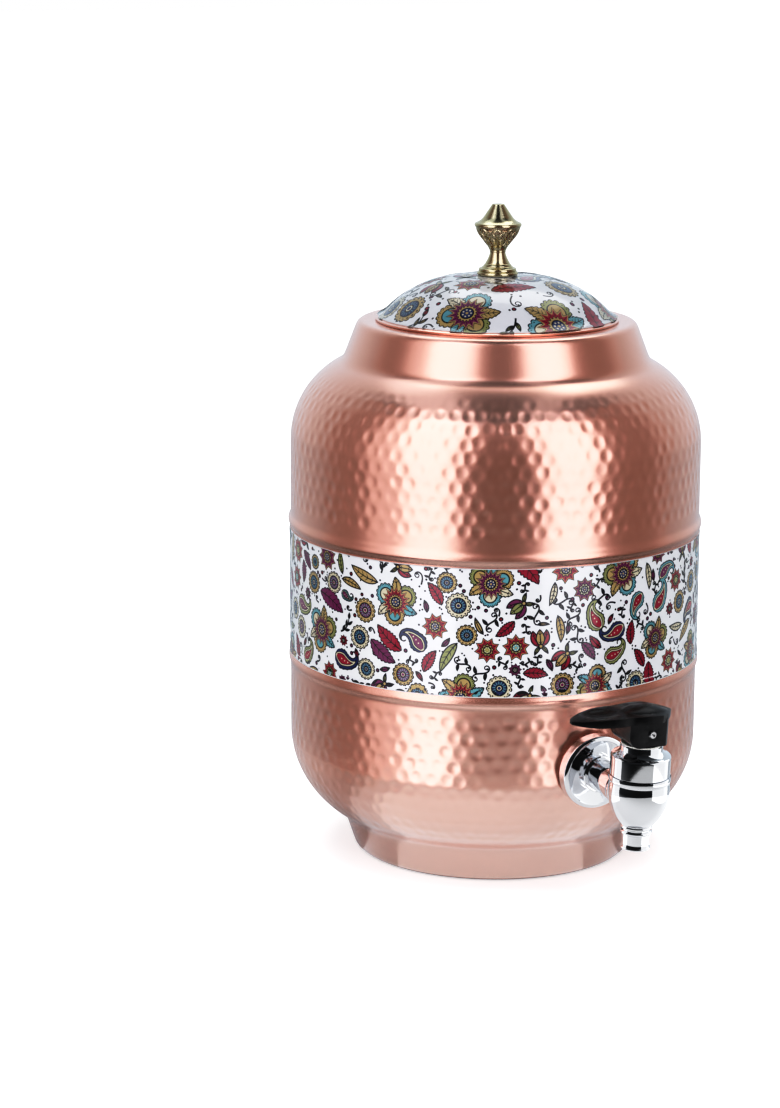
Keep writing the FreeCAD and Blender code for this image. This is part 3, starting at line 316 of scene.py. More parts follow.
def run_to(points, end, step):
    """Adds evenly spaced points of a straight run."""
    start = np.array(points[-1])
    end = np.array(end, float)
    count = max(1, int(math.ceil(np.linalg.norm(end - start) / step)))
    for share in np.arange(1, count + 1) / count:
        points.append(tuple(start + (end - start) * share))


def arc_round(points, centre, radius, start, end, step):
    """Adds evenly spaced points of an arc. Angles are in degrees, 90 is up."""
    count = max(2, int(math.ceil(abs(math.radians(end - start)) * radius / step)))
    for angle in np.radians(np.linspace(start, end, count + 1)):
        points.append((centre[0] + radius * math.cos(angle),
                       centre[1] + radius * math.sin(angle)))


def steps_of(line):
    """The distance from each point of a line to the next."""
    return np.linalg.norm(np.diff(line, axis=0), axis=1)


def run_of(line):
    """How far along a line each of its points is."""
    return np.r_[0, np.cumsum(steps_of(line))]


def heading_of(line):
    """The direction of a line at each of its points, of length one."""
    run = np.gradient(line, axis=0)
    return run / np.linalg.norm(run, axis=1)[:, None]


def tidy_profile(points, step, passes):
    """The profile at an even spacing, its corners rounded a little."""
    line = np.array(points)
    line = line[np.r_[True, steps_of(line) > 1e-4]]
    length = run_of(line)
    places = np.linspace(0, length[-1], int(length[-1] / step) + 1)
    line = np.stack([np.interp(places, length, line[:, axis]) for axis in (0, 1)], 1)
    for _ in range(passes):
        line[1:-1] = line[1:-1] / 2 + (line[:-2] + line[2:]) / 4
    return line


print("one millimetre in metres:", mm)

# %% [markdown]
# ## The barrel's two shells
# The barrel is two shells that lap behind the band. The lower one runs from the foot's lip
# to the seam, the upper one from the seam over the shoulder and the neck into the mouth.
# Their lines follow the construction model, with a softer bend at the neck's foot. An inset
# moves a line into the metal, which gives the skin's inner side.

# %% The barrel's two profiles
belly = 90.0
wall = 1.0
bowl_round, bowl_top, bowl_turn = 42.0, 54.0, 60.0
foot_blend, foot_slope, foot_edge, foot_lip = 8.0, 19.0, 3.0, 4.0
bead_half, low_bead, low_bead_proud = 2.4, 87.0, 0.9
high_bead, high_bead_proud = 148.5, 1.1
seam = 113.75
shoulder_round, shoulder_base, shoulder_turn = 38.5, 183.7, 62.0
neck_blend, neck_top, neck_corner = 7.0, 236.2, 3.0
mouth, mouth_round, mouth_ledge, mouth_lip = 47.0, 1.6, 10.0, 7.0


def along(centre, radius, angle):
    """A point on a circle."""
    turn = math.radians(angle)
    return centre[0] + radius * math.cos(turn), centre[1] + radius * math.sin(turn)


def bead_round(points, height, proud, inset, step):
    """Adds a rolled bead to the straight wall."""
    edge = belly - inset
    bend = (proud ** 2 + bead_half ** 2) / (2 * proud)
    reach = math.degrees(math.asin(bead_half / bend))
    run_to(points, (edge, height - bead_half), step)
    arc_round(points, (edge + proud - bend, height), bend, -reach, reach, step)


def lower_profile(inset, step):
    """The lower shell's skin from the foot's lip up to the seam, pushed in by inset."""
    bowl = (belly - bowl_round, bowl_top)
    blend = along(bowl, bowl_round + foot_blend, -bowl_turn)
    high = along(blend, foot_blend, 180 - foot_slope)
    edge_level = foot_edge * (1 - math.sin(math.radians(foot_slope)))
    edge_side = high[0] - (high[1] - edge_level) * math.tan(math.radians(foot_slope))
    edge = (edge_side - foot_edge * math.cos(math.radians(foot_slope)), foot_edge)
    points = [(edge[0] - foot_lip, inset)]
    run_to(points, (edge[0], inset), step)
    arc_round(points, edge, foot_edge - inset, -90, -foot_slope, step)
    run_to(points, along(blend, foot_blend + inset, 180 - foot_slope), step)
    arc_round(points, blend, foot_blend + inset, 180 - foot_slope, 180 - bowl_turn, step)
    arc_round(points, bowl, bowl_round - inset, -bowl_turn, 0, step)
    bead_round(points, low_bead, low_bead_proud, inset, step)
    run_to(points, (belly - inset, seam - 0.1), step)
    return points


def upper_profile(inset, step):
    """The upper shell's skin from the seam to the lip inside the mouth."""
    shoulder = (belly - shoulder_round, shoulder_base)
    blend = along(shoulder, shoulder_round + neck_blend, shoulder_turn)
    corner = (mouth + mouth_round + mouth_ledge, neck_top - neck_corner)
    away = math.atan2(blend[1] - corner[1], blend[0] - corner[0])
    apart = math.hypot(blend[0] - corner[0], blend[1] - corner[1])
    lean = math.degrees(away + math.acos((neck_blend + neck_corner) / apart))
    points = [(belly - inset, seam)]
    bead_round(points, high_bead, high_bead_proud, inset, step)
    run_to(points, (belly - inset, shoulder_base), step)
    arc_round(points, shoulder, shoulder_round - inset, 0, shoulder_turn, step)
    arc_round(points, blend, neck_blend + inset, shoulder_turn + 180, lean + 180, step)
    run_to(points, along(corner, neck_corner - inset, lean), step)
    arc_round(points, corner, neck_corner - inset, lean, 90, step)
    run_to(points, (mouth + mouth_round, neck_top - inset), step)
    arc_round(points, (mouth + mouth_round, neck_top - mouth_round), mouth_round - inset,
              90, 180, step)
    run_to(points, (mouth + inset, neck_top - mouth_lip), step)
    return points


for profile in (lower_profile, upper_profile):
    line = np.array(profile(0, 1.0))
    print(profile.__name__, "mm long:", run_of(line)[-1].round(1), "widest:", line[:, 0].max())

# %% [markdown]
# ## Hammer marks
# The marks are shallow round dents in staggered rows, each a little off its place and of
# its own depth. They could be faked with a bump, but the outline and the long reflections
# show that they are real, so they are pushed into the mesh. Where two dents meet, the
# lower surface wins with a soft edge between, which leaves the low ridges of planished
# copper.

# %% Hammered skins
marks_round = 87
mark_pitch = 6.2
mark_depth = 0.19
mark_reach = 2.9
columns = marks_round * 8
drawn_step, skin_step, inner_step, skin_passes = 0.2, 0.75, 3.0, 2


def hammer_marks(angle, height, seed, low, high, fade):
    """How far the skin is pushed in at each place, in mm. height is along the profile."""
    dice = np.random.RandomState(seed)
    rows = int((high - low) / mark_pitch) + 3
    shift_round = dice.uniform(-0.9, 0.9, (rows, marks_round))
    shift_up = dice.uniform(-0.75, 0.75, (rows, marks_round))
    depth = mark_depth * dice.uniform(0.55, 1.25, (rows, marks_round))
    round_pitch = math.tau * belly / marks_round
    row_here = np.round((height - low) / mark_pitch).astype(int)
    push = np.zeros_like(height)
    for row_step in (-1, 0, 1):
        row = row_here + row_step
        offset = 0.5 * (row % 2)
        column_here = np.round(angle / math.tau * marks_round - offset).astype(int)
        held = np.clip(row, 0, rows - 1)
        inside = (row >= 0) & (row < rows)
        for column_step in (-1, 0, 1):
            column = column_here + column_step
            pick = (held, column % marks_round)
            across = (angle / math.tau * marks_round - offset - column) * round_pitch
            across = across - shift_round[pick]
            up = height - low - row * mark_pitch - shift_up[pick]
            bowl = np.clip(1 - (across ** 2 + up ** 2) / mark_reach ** 2, 0, 1)
            bowl = depth[pick] * bowl ** 1.25 * inside
            push = push + bowl - push * bowl / mark_depth / 2
    ramp = np.clip((height - low) / fade[0], 0, 1) * np.clip((high - height) / fade[1], 0, 1)
    return push * ramp * ramp * (3 - 2 * ramp)


def round_angles(count):
    """Angles spaced evenly round."""
    return np.arange(count) / count * math.tau


def turned_skin(name, outside, inside, push_in, count):
    """A closed turned skin. push_in gives each outside point's dent depth."""
    normal = heading_of(outside)[:, ::-1] * (1, -1)
    angle = round_angles(count)
    dent = push_in(*np.meshgrid(angle, run_of(outside)))
    front = outside[:, None] - normal[:, None] * dent[:, :, None]
    back = np.repeat(inside[::-1, None], count, 1)
    radius, height = np.moveaxis(np.concatenate([front, back]), 2, 0)
    places = np.stack([radius * np.cos(angle), radius * np.sin(angle), height], 2) * mm
    rings = len(places)
    first = np.arange(rings * count).reshape(rings, count)
    ahead = np.roll(first, -1, axis=0)
    beside = np.roll(first, -1, axis=1)
    corner = np.roll(ahead, -1, axis=1)
    faces = np.stack([first, beside, corner, ahead], 2).reshape(-1, 4)
    skin = shape(name, places.reshape(-1, 3), faces)
    skin.data.shade_smooth()
    return skin


def height_on(profile, level):
    """How far along a profile it first reaches a level."""
    return run_of(profile)[np.argmax(profile[:, 1] >= level)]


def hammered(name, profile, seed, levels, fade):
    """A hammered skin. The marks lie between two levels and fade out towards them."""
    outside = tidy_profile(profile(0, drawn_step), skin_step, skin_passes)
    inside = tidy_profile(profile(wall, drawn_step), inner_step, 0)
    zone = [height_on(outside, level) for level in levels]
    return turned_skin(name, outside, inside,
                       lambda angle, up: hammer_marks(angle, up, seed, *zone, fade), columns)


lower_skin = hammered("lower_copper", lower_profile, 11, (17, 82.5), (12, 5))
upper_skin = hammered("upper_copper", upper_profile, 23, (153.5, 214.5), (5, 9))
for skin, node in ((lower_skin, "lower_shell"), (upper_skin, "upper_shell")):
    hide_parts(node)
    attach(skin, "vessel")
    print(skin.name, "faces:", len(skin.data.polygons))

# %% [markdown]
# ## The tap hole
# The tap's shank passes through the lower shell, so the skin needs the same hole. It leans
# with the tap by a few degrees and is half a millimetre larger than the thread. The hole is
# cut with a round tool, as a drill would do it, and the tool is thrown away.

# %% Tap hole
def shaped(piece, kind, **settings):
    """The piece with a modifier made part of its mesh."""
    modifier = piece.modifiers.new(kind, kind)
    for name, value in settings.items():
        setattr(modifier, name, value)
    ready = bpy.context.evaluated_depsgraph_get()
    mesh = bpy.data.meshes.new_from_object(piece.evaluated_get(ready))
    piece.modifiers.clear()
    piece.data = mesh
    return mesh


tap_level, tap_lean, hole_radius = 56.9, 4.5, 6.5
drill_half, sides = 9, 48
drill = [Vector((hole_radius * math.cos(angle), depth, hole_radius * math.sin(angle))) * mm
         for depth in (-drill_half, drill_half) for angle in round_angles(sides)]
drill_faces = [tuple(range(sides)), tuple(range(2 * sides - 1, sides - 1, -1))]
drill_faces += [(n, n + sides, (n + 1) % sides + sides, (n + 1) % sides) for n in range(sides)]
drill_tool = shape("drill", drill, drill_faces)
drill_tool.matrix_world = (Matrix.Translation(Vector((0, -belly, tap_level)) * mm)
                           @ turn_about("X", tap_lean))
bpy.context.view_layer.update()
before = len(lower_skin.data.vertices)
shaped(lower_skin, "BOOLEAN", object=drill_tool, solver="EXACT")
bpy.data.objects.remove(drill_tool)
print("skin points before and after the drill:", before, len(lower_skin.data.vertices))

# %% [markdown]
# ## Metals
# Spun copper is satin, with very fine lines round the axis left by the wheel. The lines
# are noise that is drawn out round the pot, fed to the roughness and to a slight bump.
# Brass and chrome are the same idea with other colours and a finer polish.

# %% Metal finishes
lines_per_metre, lines_drawn_out = 2600, 0.02
metal_relief, moulded_relief = 0.00005, 0.0001


def noise_on(tree, place, **settings):
    """Noise at a place."""
    return add(tree, "TexNoise", {"Vector": place}, **settings).outputs["Fac"]


def feed(tree, shader, colours, tint_by, grain, gloss, relief):
    """Feeds a shader: one pattern mixes two colours, a grain drives the gloss and a relief."""
    tint = add(tree, "Mix", {"Factor": tint_by}, data_type="RGBA", A=(*colours[0], 1),
               B=(*colours[1], 1))
    shine = add(tree, "MapRange", {"Value": grain}, From_Min=gloss[0], From_Max=gloss[1],
                To_Min=gloss[2], To_Max=gloss[3])
    bump = add(tree, "Bump", {"Height": grain}, Strength=relief[0], Distance=relief[1])
    tree.links.new(tint.outputs["Result"], shader.inputs["Base Color"])
    tree.links.new(shine.outputs["Result"], shader.inputs["Roughness"])
    tree.links.new(bump.outputs["Normal"], shader.inputs["Normal"])


def metal(name, colour, worn_colour, roughness, spread_by, bump, metallic=1.0):
    """A metal with lines of the wheel round its axis and a slow drift of colour."""
    material, tree, shader = new_material(name)
    place = add(tree, "TexCoord").outputs["Object"]
    stretch = add(tree, "VectorMath", {0: place}, operation="MULTIPLY")
    stretch.inputs[1].default_value = [lines_per_metre * share
                                       for share in (lines_drawn_out, lines_drawn_out, 1.0)]
    lines = noise_on(tree, stretch.outputs["Vector"], Scale=1.0, Detail=4.0, Roughness=0.6)
    clouds = noise_on(tree, place, Scale=34.0, Detail=3.0, Roughness=0.55)
    feed(tree, shader, (colour, worn_colour), clouds, lines,
           (0.3, 0.7, roughness - spread_by, roughness + spread_by), (bump, metal_relief))
    shader.inputs["Metallic"].default_value = metallic
    return material


def dress(piece, stock, *lit_with):
    """Gives a piece the finish of its stock and puts it in the reach of its lamps."""
    piece.data.materials.clear()
    piece.data.materials.append(stock)
    for reached in lit_with:
        reached.objects.link(piece)


copper = metal("satin copper", (0.90, 0.50, 0.38), (0.88, 0.47, 0.355), 0.25, 0.010, 0.02,
               metallic=0.86)
copper_shader = copper.node_tree.nodes["Principled BSDF"]
copper_shader.inputs["Coat Weight"].default_value = 1.0
copper_shader.inputs["Coat Roughness"].default_value = 0.26
copper_shader.inputs["Coat IOR"].default_value = 2.1
inner_copper = metal("inner copper", (0.85, 0.42, 0.28), (0.78, 0.36, 0.24), 0.34, 0.04, 0.3)
brass = metal("turned brass", (0.66, 0.61, 0.43), (0.55, 0.49, 0.32), 0.17, 0.03, 0.2)
chrome = metal("chrome plate", (0.80, 0.81, 0.83), (0.76, 0.77, 0.79), 0.05, 0.012, 0.03)
steel = metal("stainless steel", (0.62, 0.62, 0.63), (0.55, 0.55, 0.56), 0.24, 0.05, 0.2)
for skin in (lower_skin, upper_skin):
    dress(skin, copper, for_barrel, for_copper)
print("metals:", [m.name for m in (copper, inner_copper, brass, chrome, steel)])

# %% [markdown]
# ## Moulded and rubber finishes
# The lever is glossy moulded black plastic, the seals are milky silicone and the glide
# washer is plain nylon. Moulded parts have a faint orange-peel skin, so a fine noise
# drives a light bump and a small change of gloss.

# %% Moulded finishes
def moulded(name, colour, other_colour, roughness, bump, scale=700, coat=0.0):
    """A moulded finish with a faint skin texture."""
    material, tree, shader = new_material(name)
    place = add(tree, "TexCoord").outputs["Object"]
    grain = noise_on(tree, place, Scale=scale, Detail=3.0)
    feed(tree, shader, (colour, other_colour), grain, grain,
           (0, 1, roughness * 0.8, roughness * 1.2), (bump, moulded_relief))
    shader.inputs["Coat Weight"].default_value = coat
    shader.inputs["Coat Roughness"].default_value = 0.06
    return material


black_plastic = moulded("black plastic", (0.012, 0.012, 0.013), (0.02, 0.02, 0.021), 0.25, 0.06)
black_plastic.node_tree.nodes["Principled BSDF"].inputs["Specular IOR Level"].default_value = 0.35
silicone = moulded("silicone", (0.80, 0.80, 0.77), (0.74, 0.74, 0.71), 0.5, 0.2)
nylon = moulded("plain nylon", (0.84, 0.83, 0.79), (0.79, 0.78, 0.73), 0.4, 0.15)
film = moulded("white film", (0.87, 0.87, 0.86), (0.83, 0.83, 0.83), 0.3, 0.03, coat=1.0)
print("moulded:", [m.name for m in (black_plastic, silicone, nylon, film)])

# %% [markdown]
# ## The printed films
# The band and the lid carry a white printed film under clear lacquer. The construction
# model has both as plain strips, which are replaced here by finer skins, because a picture
# that is laid on a skin needs it to be truly round. The band's lower edge is a little
# flared where the film was pressed over the bead, and that edge catches the light.

# %% The two films
film_low, film_high = (corner[2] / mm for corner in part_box("band_print"))
film_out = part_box("band_print")[1][0] / mm
film_thick = 0.3
band_sides, lid_sides = 360, 240
edge_flare, flare_height = 0.35, 2.2
band_out = [(film_out + edge_flare, film_low)]
run_to(band_out, (film_out, film_low + flare_height), 0.4)
run_to(band_out, (film_out, film_high), 2.5)
band_out = tidy_profile(band_out, 0.8, 2)
band_in = tidy_profile([(film_out - film_thick, film_low), (film_out - film_thick, film_high)],
                       6.0, 0)


def no_dent(around, up):
    """A skin without marks."""
    return np.zeros_like(up)


crown, knuckle, knuckle_turn = 194.0, 46.0, 45.6
rim, brim, brim_turn = 53.2, 5.9, 20.0
film_gap, print_margin, film_hole = 0.03, 1.6, 2.7
lid_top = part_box("lid_print")[1][2] / mm - film_gap - film_thick
knuckle_side = rim - brim - knuckle * math.sin(math.radians(knuckle_turn))
crown_turn = math.degrees(math.asin(knuckle_side / (crown - knuckle)))
crown_centre = (0.0, lid_top - crown)
knuckle_centre = along(crown_centre, crown - knuckle, 90 - crown_turn)
brim_bend = brim / (math.sin(math.radians(knuckle_turn)) - math.sin(math.radians(brim_turn)))
brim_centre = along(knuckle_centre, knuckle + brim_bend, 90 - knuckle_turn)
print_turn = brim_turn + math.degrees(print_margin / brim_bend)


def lid_line(out, first, last, step):
    """The dome's line, moved out, from a radius near the axis to a lean on the brim."""
    start = 90 - math.degrees(math.asin(first / (crown + out)))
    points = []
    arc_round(points, crown_centre, crown + out, start, 90 - crown_turn, step)
    arc_round(points, knuckle_centre, knuckle + out, 90 - crown_turn, 90 - knuckle_turn, step)
    arc_round(points, brim_centre, brim_bend - out, 270 - knuckle_turn, 270 - last, step)
    return points


lid_out = lid_line(film_gap + film_thick, film_hole, print_turn, 0.5)
lid_out = tidy_profile(lid_out, 1.0, 0)[::-1]
lid_in = tidy_profile(lid_line(film_gap, film_hole, print_turn, 0.5), inner_step, 0)[::-1]
band_film = turned_skin("band_film", band_out, band_in, no_dent, band_sides)
lid_film = turned_skin("lid_film", lid_out, lid_in, no_dent, lid_sides)
for skin, node, body in ((band_film, "band_print", "vessel"), (lid_film, "lid_print", "lid")):
    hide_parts(node)
    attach(skin, body)
    dress(skin, film, for_barrel, for_print)
print("films:", len(band_film.data.polygons), "and", len(lid_film.data.polygons), "faces")

# %% [markdown]
# ## Ink
# The print is a close all-over pattern of flowers, leaves, drops and scrolls, each with a
# fine black edge. An image would show it soon enough, but a print that is drawn as flat
# shapes stays sharp at any distance. Every motif here is made of two kinds of shape: a
# round one whose edge dips for the petals, and a strip along a path. A black shape is laid
# first and a slightly smaller coloured one on it, a hundredth of a millimetre higher, and
# so the black edge is left.

# %% Two kinds of ink shape
ink_colours = {
    "black": (0.014, 0.012, 0.014), "crimson": (0.40, 0.022, 0.055),
    "plum": (0.24, 0.035, 0.13), "gold": (0.54, 0.40, 0.17), "cream": (0.74, 0.68, 0.50),
    "teal": (0.18, 0.43, 0.47), "navy": (0.035, 0.050, 0.15), "olive": (0.34, 0.36, 0.14)}
ink_names = list(ink_colours)
ink_cell = 2.3


def new_sheet(line):
    """An empty sheet for ink. line is the width of its black edges."""
    return {"points": [], "faces": [], "colours": [], "count": 0, "line": line}


def lay(sheet, points, faces, colour, layer):
    """Lays one flat shape on a sheet. A point is (across, up, layer)."""
    points = np.asarray(points, float)
    sheet["points"].append(np.column_stack([points, np.full(len(points), float(layer))]))
    sheet["faces"].append(np.asarray(faces) + sheet["count"])
    sheet["colours"].append(np.full(len(faces), ink_names.index(colour)))
    sheet["count"] += len(points)


def round_shape(sheet, place, radius, colour, layer, petals=1, dip=0.0, turn=0.0, sharp=True):
    """A filled round shape. Its edge dips by a share of its radius between the petals."""
    count = max(8 if radius < 0.8 else 18, petals * (4 if sharp else 6))
    angle = round_angles(count)
    wave = np.abs(np.sin(petals * angle / 2))
    edge = radius * (1 - dip * (wave if sharp else 1 - wave ** 0.7))
    rings = max(1, int(math.ceil(radius / ink_cell)))
    ray = np.stack([np.cos(angle + turn), np.sin(angle + turn)], 1)
    points = [np.array([place])]
    for ring in range(1, rings + 1):
        points.append(place + ray * (edge * ring / rings)[:, None])
    first = 1 + np.arange(count)
    beside = 1 + (np.arange(count) + 1) % count
    faces = [np.stack([np.zeros(count, int), first, beside, beside], 1)]
    for ring in range(1, rings):
        low, high = (ring - 1) * count, ring * count
        faces.append(np.stack([first + low, first + high, beside + high, beside + low], 1))
    lay(sheet, np.concatenate(points), np.concatenate(faces), colour, layer)


def strip(sheet, path, half, colour, layer):
    """A filled strip along a path. half is its half width at each point."""
    side = heading_of(path)[:, ::-1] * (-1, 1)
    half = np.broadcast_to(half, len(path))
    lanes = max(1, int(math.ceil(2 * half.max() / ink_cell)))
    spread = half[:, None] * np.linspace(-1, 1, lanes + 1)
    points = path[:, None] + side[:, None] * spread[:, :, None]
    first = np.arange(spread.size).reshape(spread.shape)
    faces = np.stack([first[:-1, :-1], first[1:, :-1], first[1:, 1:], first[:-1, 1:]], 2)
    lay(sheet, points.reshape(-1, 2), faces.reshape(-1, 4), colour, layer)


def unit(angle):
    """The direction of an angle."""
    return np.array([math.cos(angle), math.sin(angle)])


def walk(place, length, heading):
    """A path of even steps that has a heading at each of its points."""
    steps = np.stack([np.cos(heading), np.sin(heading)], 1) * length / (len(heading) - 1)
    return np.array(place) + np.concatenate([[(0, 0)], np.cumsum(steps[:-1], axis=0)])


print("ink colours:", ", ".join(ink_names))

# %% [markdown]
# ## Small motifs
# Leaves, dots and scrolls are the common stock of painted tinware and block prints. A scroll
# is a path whose bend grows along its length, which is how a pen draws one: nearly straight
# at first and then winding in. Each motif is a short function of a place, a size and a turn,
# so the same ones serve the band and, twice as large, the lid.

# %% Small motifs
def edged(sheet, place, radius, colour, layer, *edge):
    """A round shape with a black edge, in two layers. edge is its petals, dip and so on."""
    round_shape(sheet, place, radius, "black", layer, *edge)
    round_shape(sheet, place, radius - sheet["line"], colour, layer + 1, *edge)


def spokes(count, turn):
    """Directions spaced evenly round, the first at a turn."""
    return [unit(turn + angle) for angle in round_angles(count)]


def ray_lines(sheet, place, near, far, count, turn, half, colour, layer):
    """Short tapering strokes that stand round a place."""
    reach = np.array([[near], [(near + far) / 2], [far]])
    for spoke in spokes(count, turn):
        strip(sheet, place + spoke * reach, half * np.array([1.0, 0.8, 0.3]), colour, layer)


def dots_round(sheet, place, radius, count, turn, size, colour, layer):
    """Dots on a ring."""
    for spoke in spokes(count, turn):
        round_shape(sheet, place + radius * spoke, size, colour, layer)


def leaf(sheet, place, length, turn, colour, bend=0.5, width=0.2, teeth=0, layer=0):
    """A pointed leaf that starts at a place. Teeth make its edge scalloped."""
    count = 4 * teeth + 1 if teeth else 13
    share = np.linspace(0, 1, count)
    path = walk(place, length, turn + bend * share)
    half = length * width * np.sin(math.pi * share ** 0.85) ** 0.8
    bite = 1 + 0.22 * np.abs(np.sin(math.pi * teeth * share)) if teeth else 1.0
    line = sheet["line"]
    strip(sheet, path, half * bite, "black", layer)
    strip(sheet, path[1:-1], np.clip(half * bite - line, 0.05, None)[1:-1], colour, layer + 1)
    strip(sheet, path[:-1], line * np.linspace(0.5, 0.25, count - 1), "black", layer + 2)
    heading = heading_of(path)
    for share in np.linspace(0.2, 0.7, 4 if length > 9 else 2):
        step = int(share * (count - 1))
        for side in (-1, 1):
            across = heading[step, ::-1] * (-side, side)
            tip = path[step] + (heading[step] * 0.9 + across) * half[step] * 0.66
            strip(sheet, np.linspace(path[step], tip, 3), line * np.array([0.3, 0.25, 0.12]),
                  "black", layer + 2)


def scroll(sheet, centre, length, turn, wind, both):
    """A scroll that winds in at one end, or at both ends like an S."""
    share = np.linspace(-1 if both else 0, 1, 37 if both else 20)
    path = walk((0, 0), length, turn + wind * np.abs(share) ** 2.1)
    path = path - (path.min(axis=0) + path.max(axis=0)) / 2 + centre
    line = sheet["line"]
    strip(sheet, path, line * (0.68 - 0.28 * np.abs(share)), "black", 0)
    for end in (-1, 0) if both else (-1,):
        round_shape(sheet, path[end], line * 0.95, "black", 0)
    if not both:
        return
    side = 1 if wind > 0 else -1
    middle = len(share) // 2
    run = path[middle + 1] - path[middle]
    heading = math.atan2(run[1], run[0])
    for step, hand in ((middle - 4, side), (middle + 4, -side)):
        leaf(sheet, path[step], length * 0.2, heading + hand * 1.1, "cream", hand * 0.6, 0.22,
             layer=1)


def shape_count(motif, *settings):
    """How many shapes a motif is made of, laid for trial on a sheet of its own."""
    trial = new_sheet(0.6)
    motif(trial, np.zeros(2), *settings)
    return len(trial["faces"])


print("shapes in a leaf:", shape_count(leaf, 10.0, 0.0, "crimson"))
print("shapes in a double scroll:", shape_count(scroll, 18.0, 0.0, 6.6, True))

# %% [markdown]
# ## Flowers, drops and sprigs
# The larger motifs are built up like paper cut-outs, one on another: a flower is two rings of
# petals and a heart, and the largest lie on leaves and on scalloped fans. The black shape
# under each coloured one does the work of a drawn outline.

# %% Flowers
scallops = 15


def flower(sheet, place, size, turn, outer, inner, heart, petals, layer=0):
    """A flower of pointed petals with a gold rim, a smaller ring of petals and a heart."""
    edged(sheet, place, size, "gold", layer, petals, 0.30, turn)
    round_shape(sheet, place, size * 0.86, outer, layer + 2, petals, 0.32, turn)
    ray_lines(sheet, place, size * 0.5, size * 0.74, petals, turn, sheet["line"] * 0.35, "black",
              layer + 3)
    edged(sheet, place, size * 0.54, inner, layer + 4, petals, 0.22, turn + math.pi / petals)
    edged(sheet, place, size * 0.33, heart, layer + 6)
    dots_round(sheet, place, size * 0.19, 7, turn, size * 0.045, "cream", layer + 8)
    round_shape(sheet, place, size * 0.07, "gold", layer + 8)


def medallion(sheet, place, size, turn, ring, heart):
    """A round medallion: a ring of scallops with dots round a dark heart."""
    edged(sheet, place, size, ring, 0, scallops, 0.12, turn, False)
    dots_round(sheet, place, size * 0.78, scallops, turn + math.pi / scallops, size * 0.065,
               "black", 2)
    dots_round(sheet, place, size * 0.78, scallops, turn, size * 0.035, "cream", 2)
    edged(sheet, place, size * 0.62, heart, 2)
    ray_lines(sheet, place, size * 0.3, size * 0.54, 14, turn, sheet["line"] * 0.3, "teal", 4)
    edged(sheet, place, size * 0.28, "cream", 4)
    round_shape(sheet, place, size * 0.13, heart, 6)


def drop(sheet, place, size, turn, outer, inner, side):
    """A drop with a scalloped edge whose tip curls over, in nested bands of colour."""
    share = np.linspace(0, 1, 33)
    path = walk(place, size * 2.9, turn + side * 5.4 * share ** 3.2)
    head = np.clip(1 - ((share - 0.26) / 0.26) ** 2, 0, 1) ** 0.5
    tail = np.clip(1 - (share - 0.26) / 0.74, 0, 1) ** 1.3
    full = size * 0.60 * np.where(share < 0.26, head, tail)
    line = sheet["line"]
    teeth = 1 + 0.13 * np.abs(np.sin(math.pi * 11 * share)) * (share < 0.75)
    bands = ((0.0, "black"), (line, outer), (size * 0.17, "black"),
             (size * 0.17 + line * 0.6, "cream"), (size * 0.29, "black"),
             (size * 0.29 + line * 0.6, inner))
    for layer, (margin, colour) in enumerate(bands):
        half = full * (teeth if layer < 2 else 1) - margin
        keep = half > 0.06
        if layer == 0:
            keep, half = share >= 0, np.maximum(half, line * 0.5)
        if keep.sum() > 3:
            strip(sheet, path[keep], half[keep], colour, layer)
    for step in (7, 10, 13):
        round_shape(sheet, path[step], size * 0.05, "cream", len(bands))


def sprig(sheet, place, size, turn, colour, side):
    """A bent stem with slim leaves on both sides and a bud at its end."""
    share = np.linspace(0, 1, 14)
    stem = walk(place, size * 1.7, turn + side * 1.2 * share)
    strip(sheet, stem, sheet["line"] * np.linspace(0.75, 0.45, 14), "black", 0)
    heading = [math.atan2(up, across) for across, up in heading_of(stem)]
    for step, hand in ((2, 1), (4, -1), (7, 1), (9, -1)):
        leaf(sheet, stem[step], size * 0.72, heading[step] + hand * 0.75, colour, -hand * 0.5,
             0.19, layer=1)
    leaf(sheet, stem[-1], size * 0.62, heading[-1], "crimson", 0.0, 0.27, layer=1)


def tulip(sheet, place, size, turn, outer, inner):
    """A cup of three petals on two small leaves."""
    for hand in (-1, 1):
        leaf(sheet, place, size, turn + hand * 2.2, "olive", hand * 0.6)
        leaf(sheet, place, size * 1.6, turn + hand * 0.8, outer, -hand * 0.9, 0.25, layer=3)
    leaf(sheet, place, size * 1.5, turn, inner, 0.0, 0.28, layer=6)
    edged(sheet, place, size * 0.24, "gold", 9)


def bloom(sheet, place, size, turn, warm, cool, heart):
    """A large flower that lies on leaves and on scalloped fans."""
    fans = ((0.3, cool, "cream"), (2.3, "gold", cool), (4.5, "olive", "gold"))
    for angle, colour, other in fans:
        spot = place + size * 0.50 * unit(turn + angle)
        edged(sheet, spot, size * 0.46, colour, 0, scallops, 0.13, turn, False)
        dots_round(sheet, spot, size * 0.36, scallops, turn + 0.2, size * 0.02, "black", 2)
        edged(sheet, spot, size * 0.28, other, 2)
    for angle, colour in ((1.3, "cream"), (3.4, cool), (5.4, "gold")):
        leaf(sheet, place + unit(turn + angle) * size * 0.2, size * 0.8, turn + angle, colour,
             0.5, 0.24, 7, 4)
    flower(sheet, place, size * 0.64, turn, warm, "gold", heart, 16, 7)


print("shapes in the largest flower:",
      shape_count(bloom, 10.0, 0.0, "crimson", "teal", "navy"))

# %% [markdown]
# ## Layout
# A printer's repeat fills the sheet closely, with no motif on another. The layout does the
# same with a seeded dice. Large flowers are dropped first, as far from each other as a
# handful of throws allows. Every later motif is thrown many times and takes the spot where
# it fits most snugly between the circles that are already claimed, and scrolls and dots fill
# what is left. The sheet wraps round the barrel, and what crosses its edges is cut off there.

# %% Layout
throws, patience = 90, 16


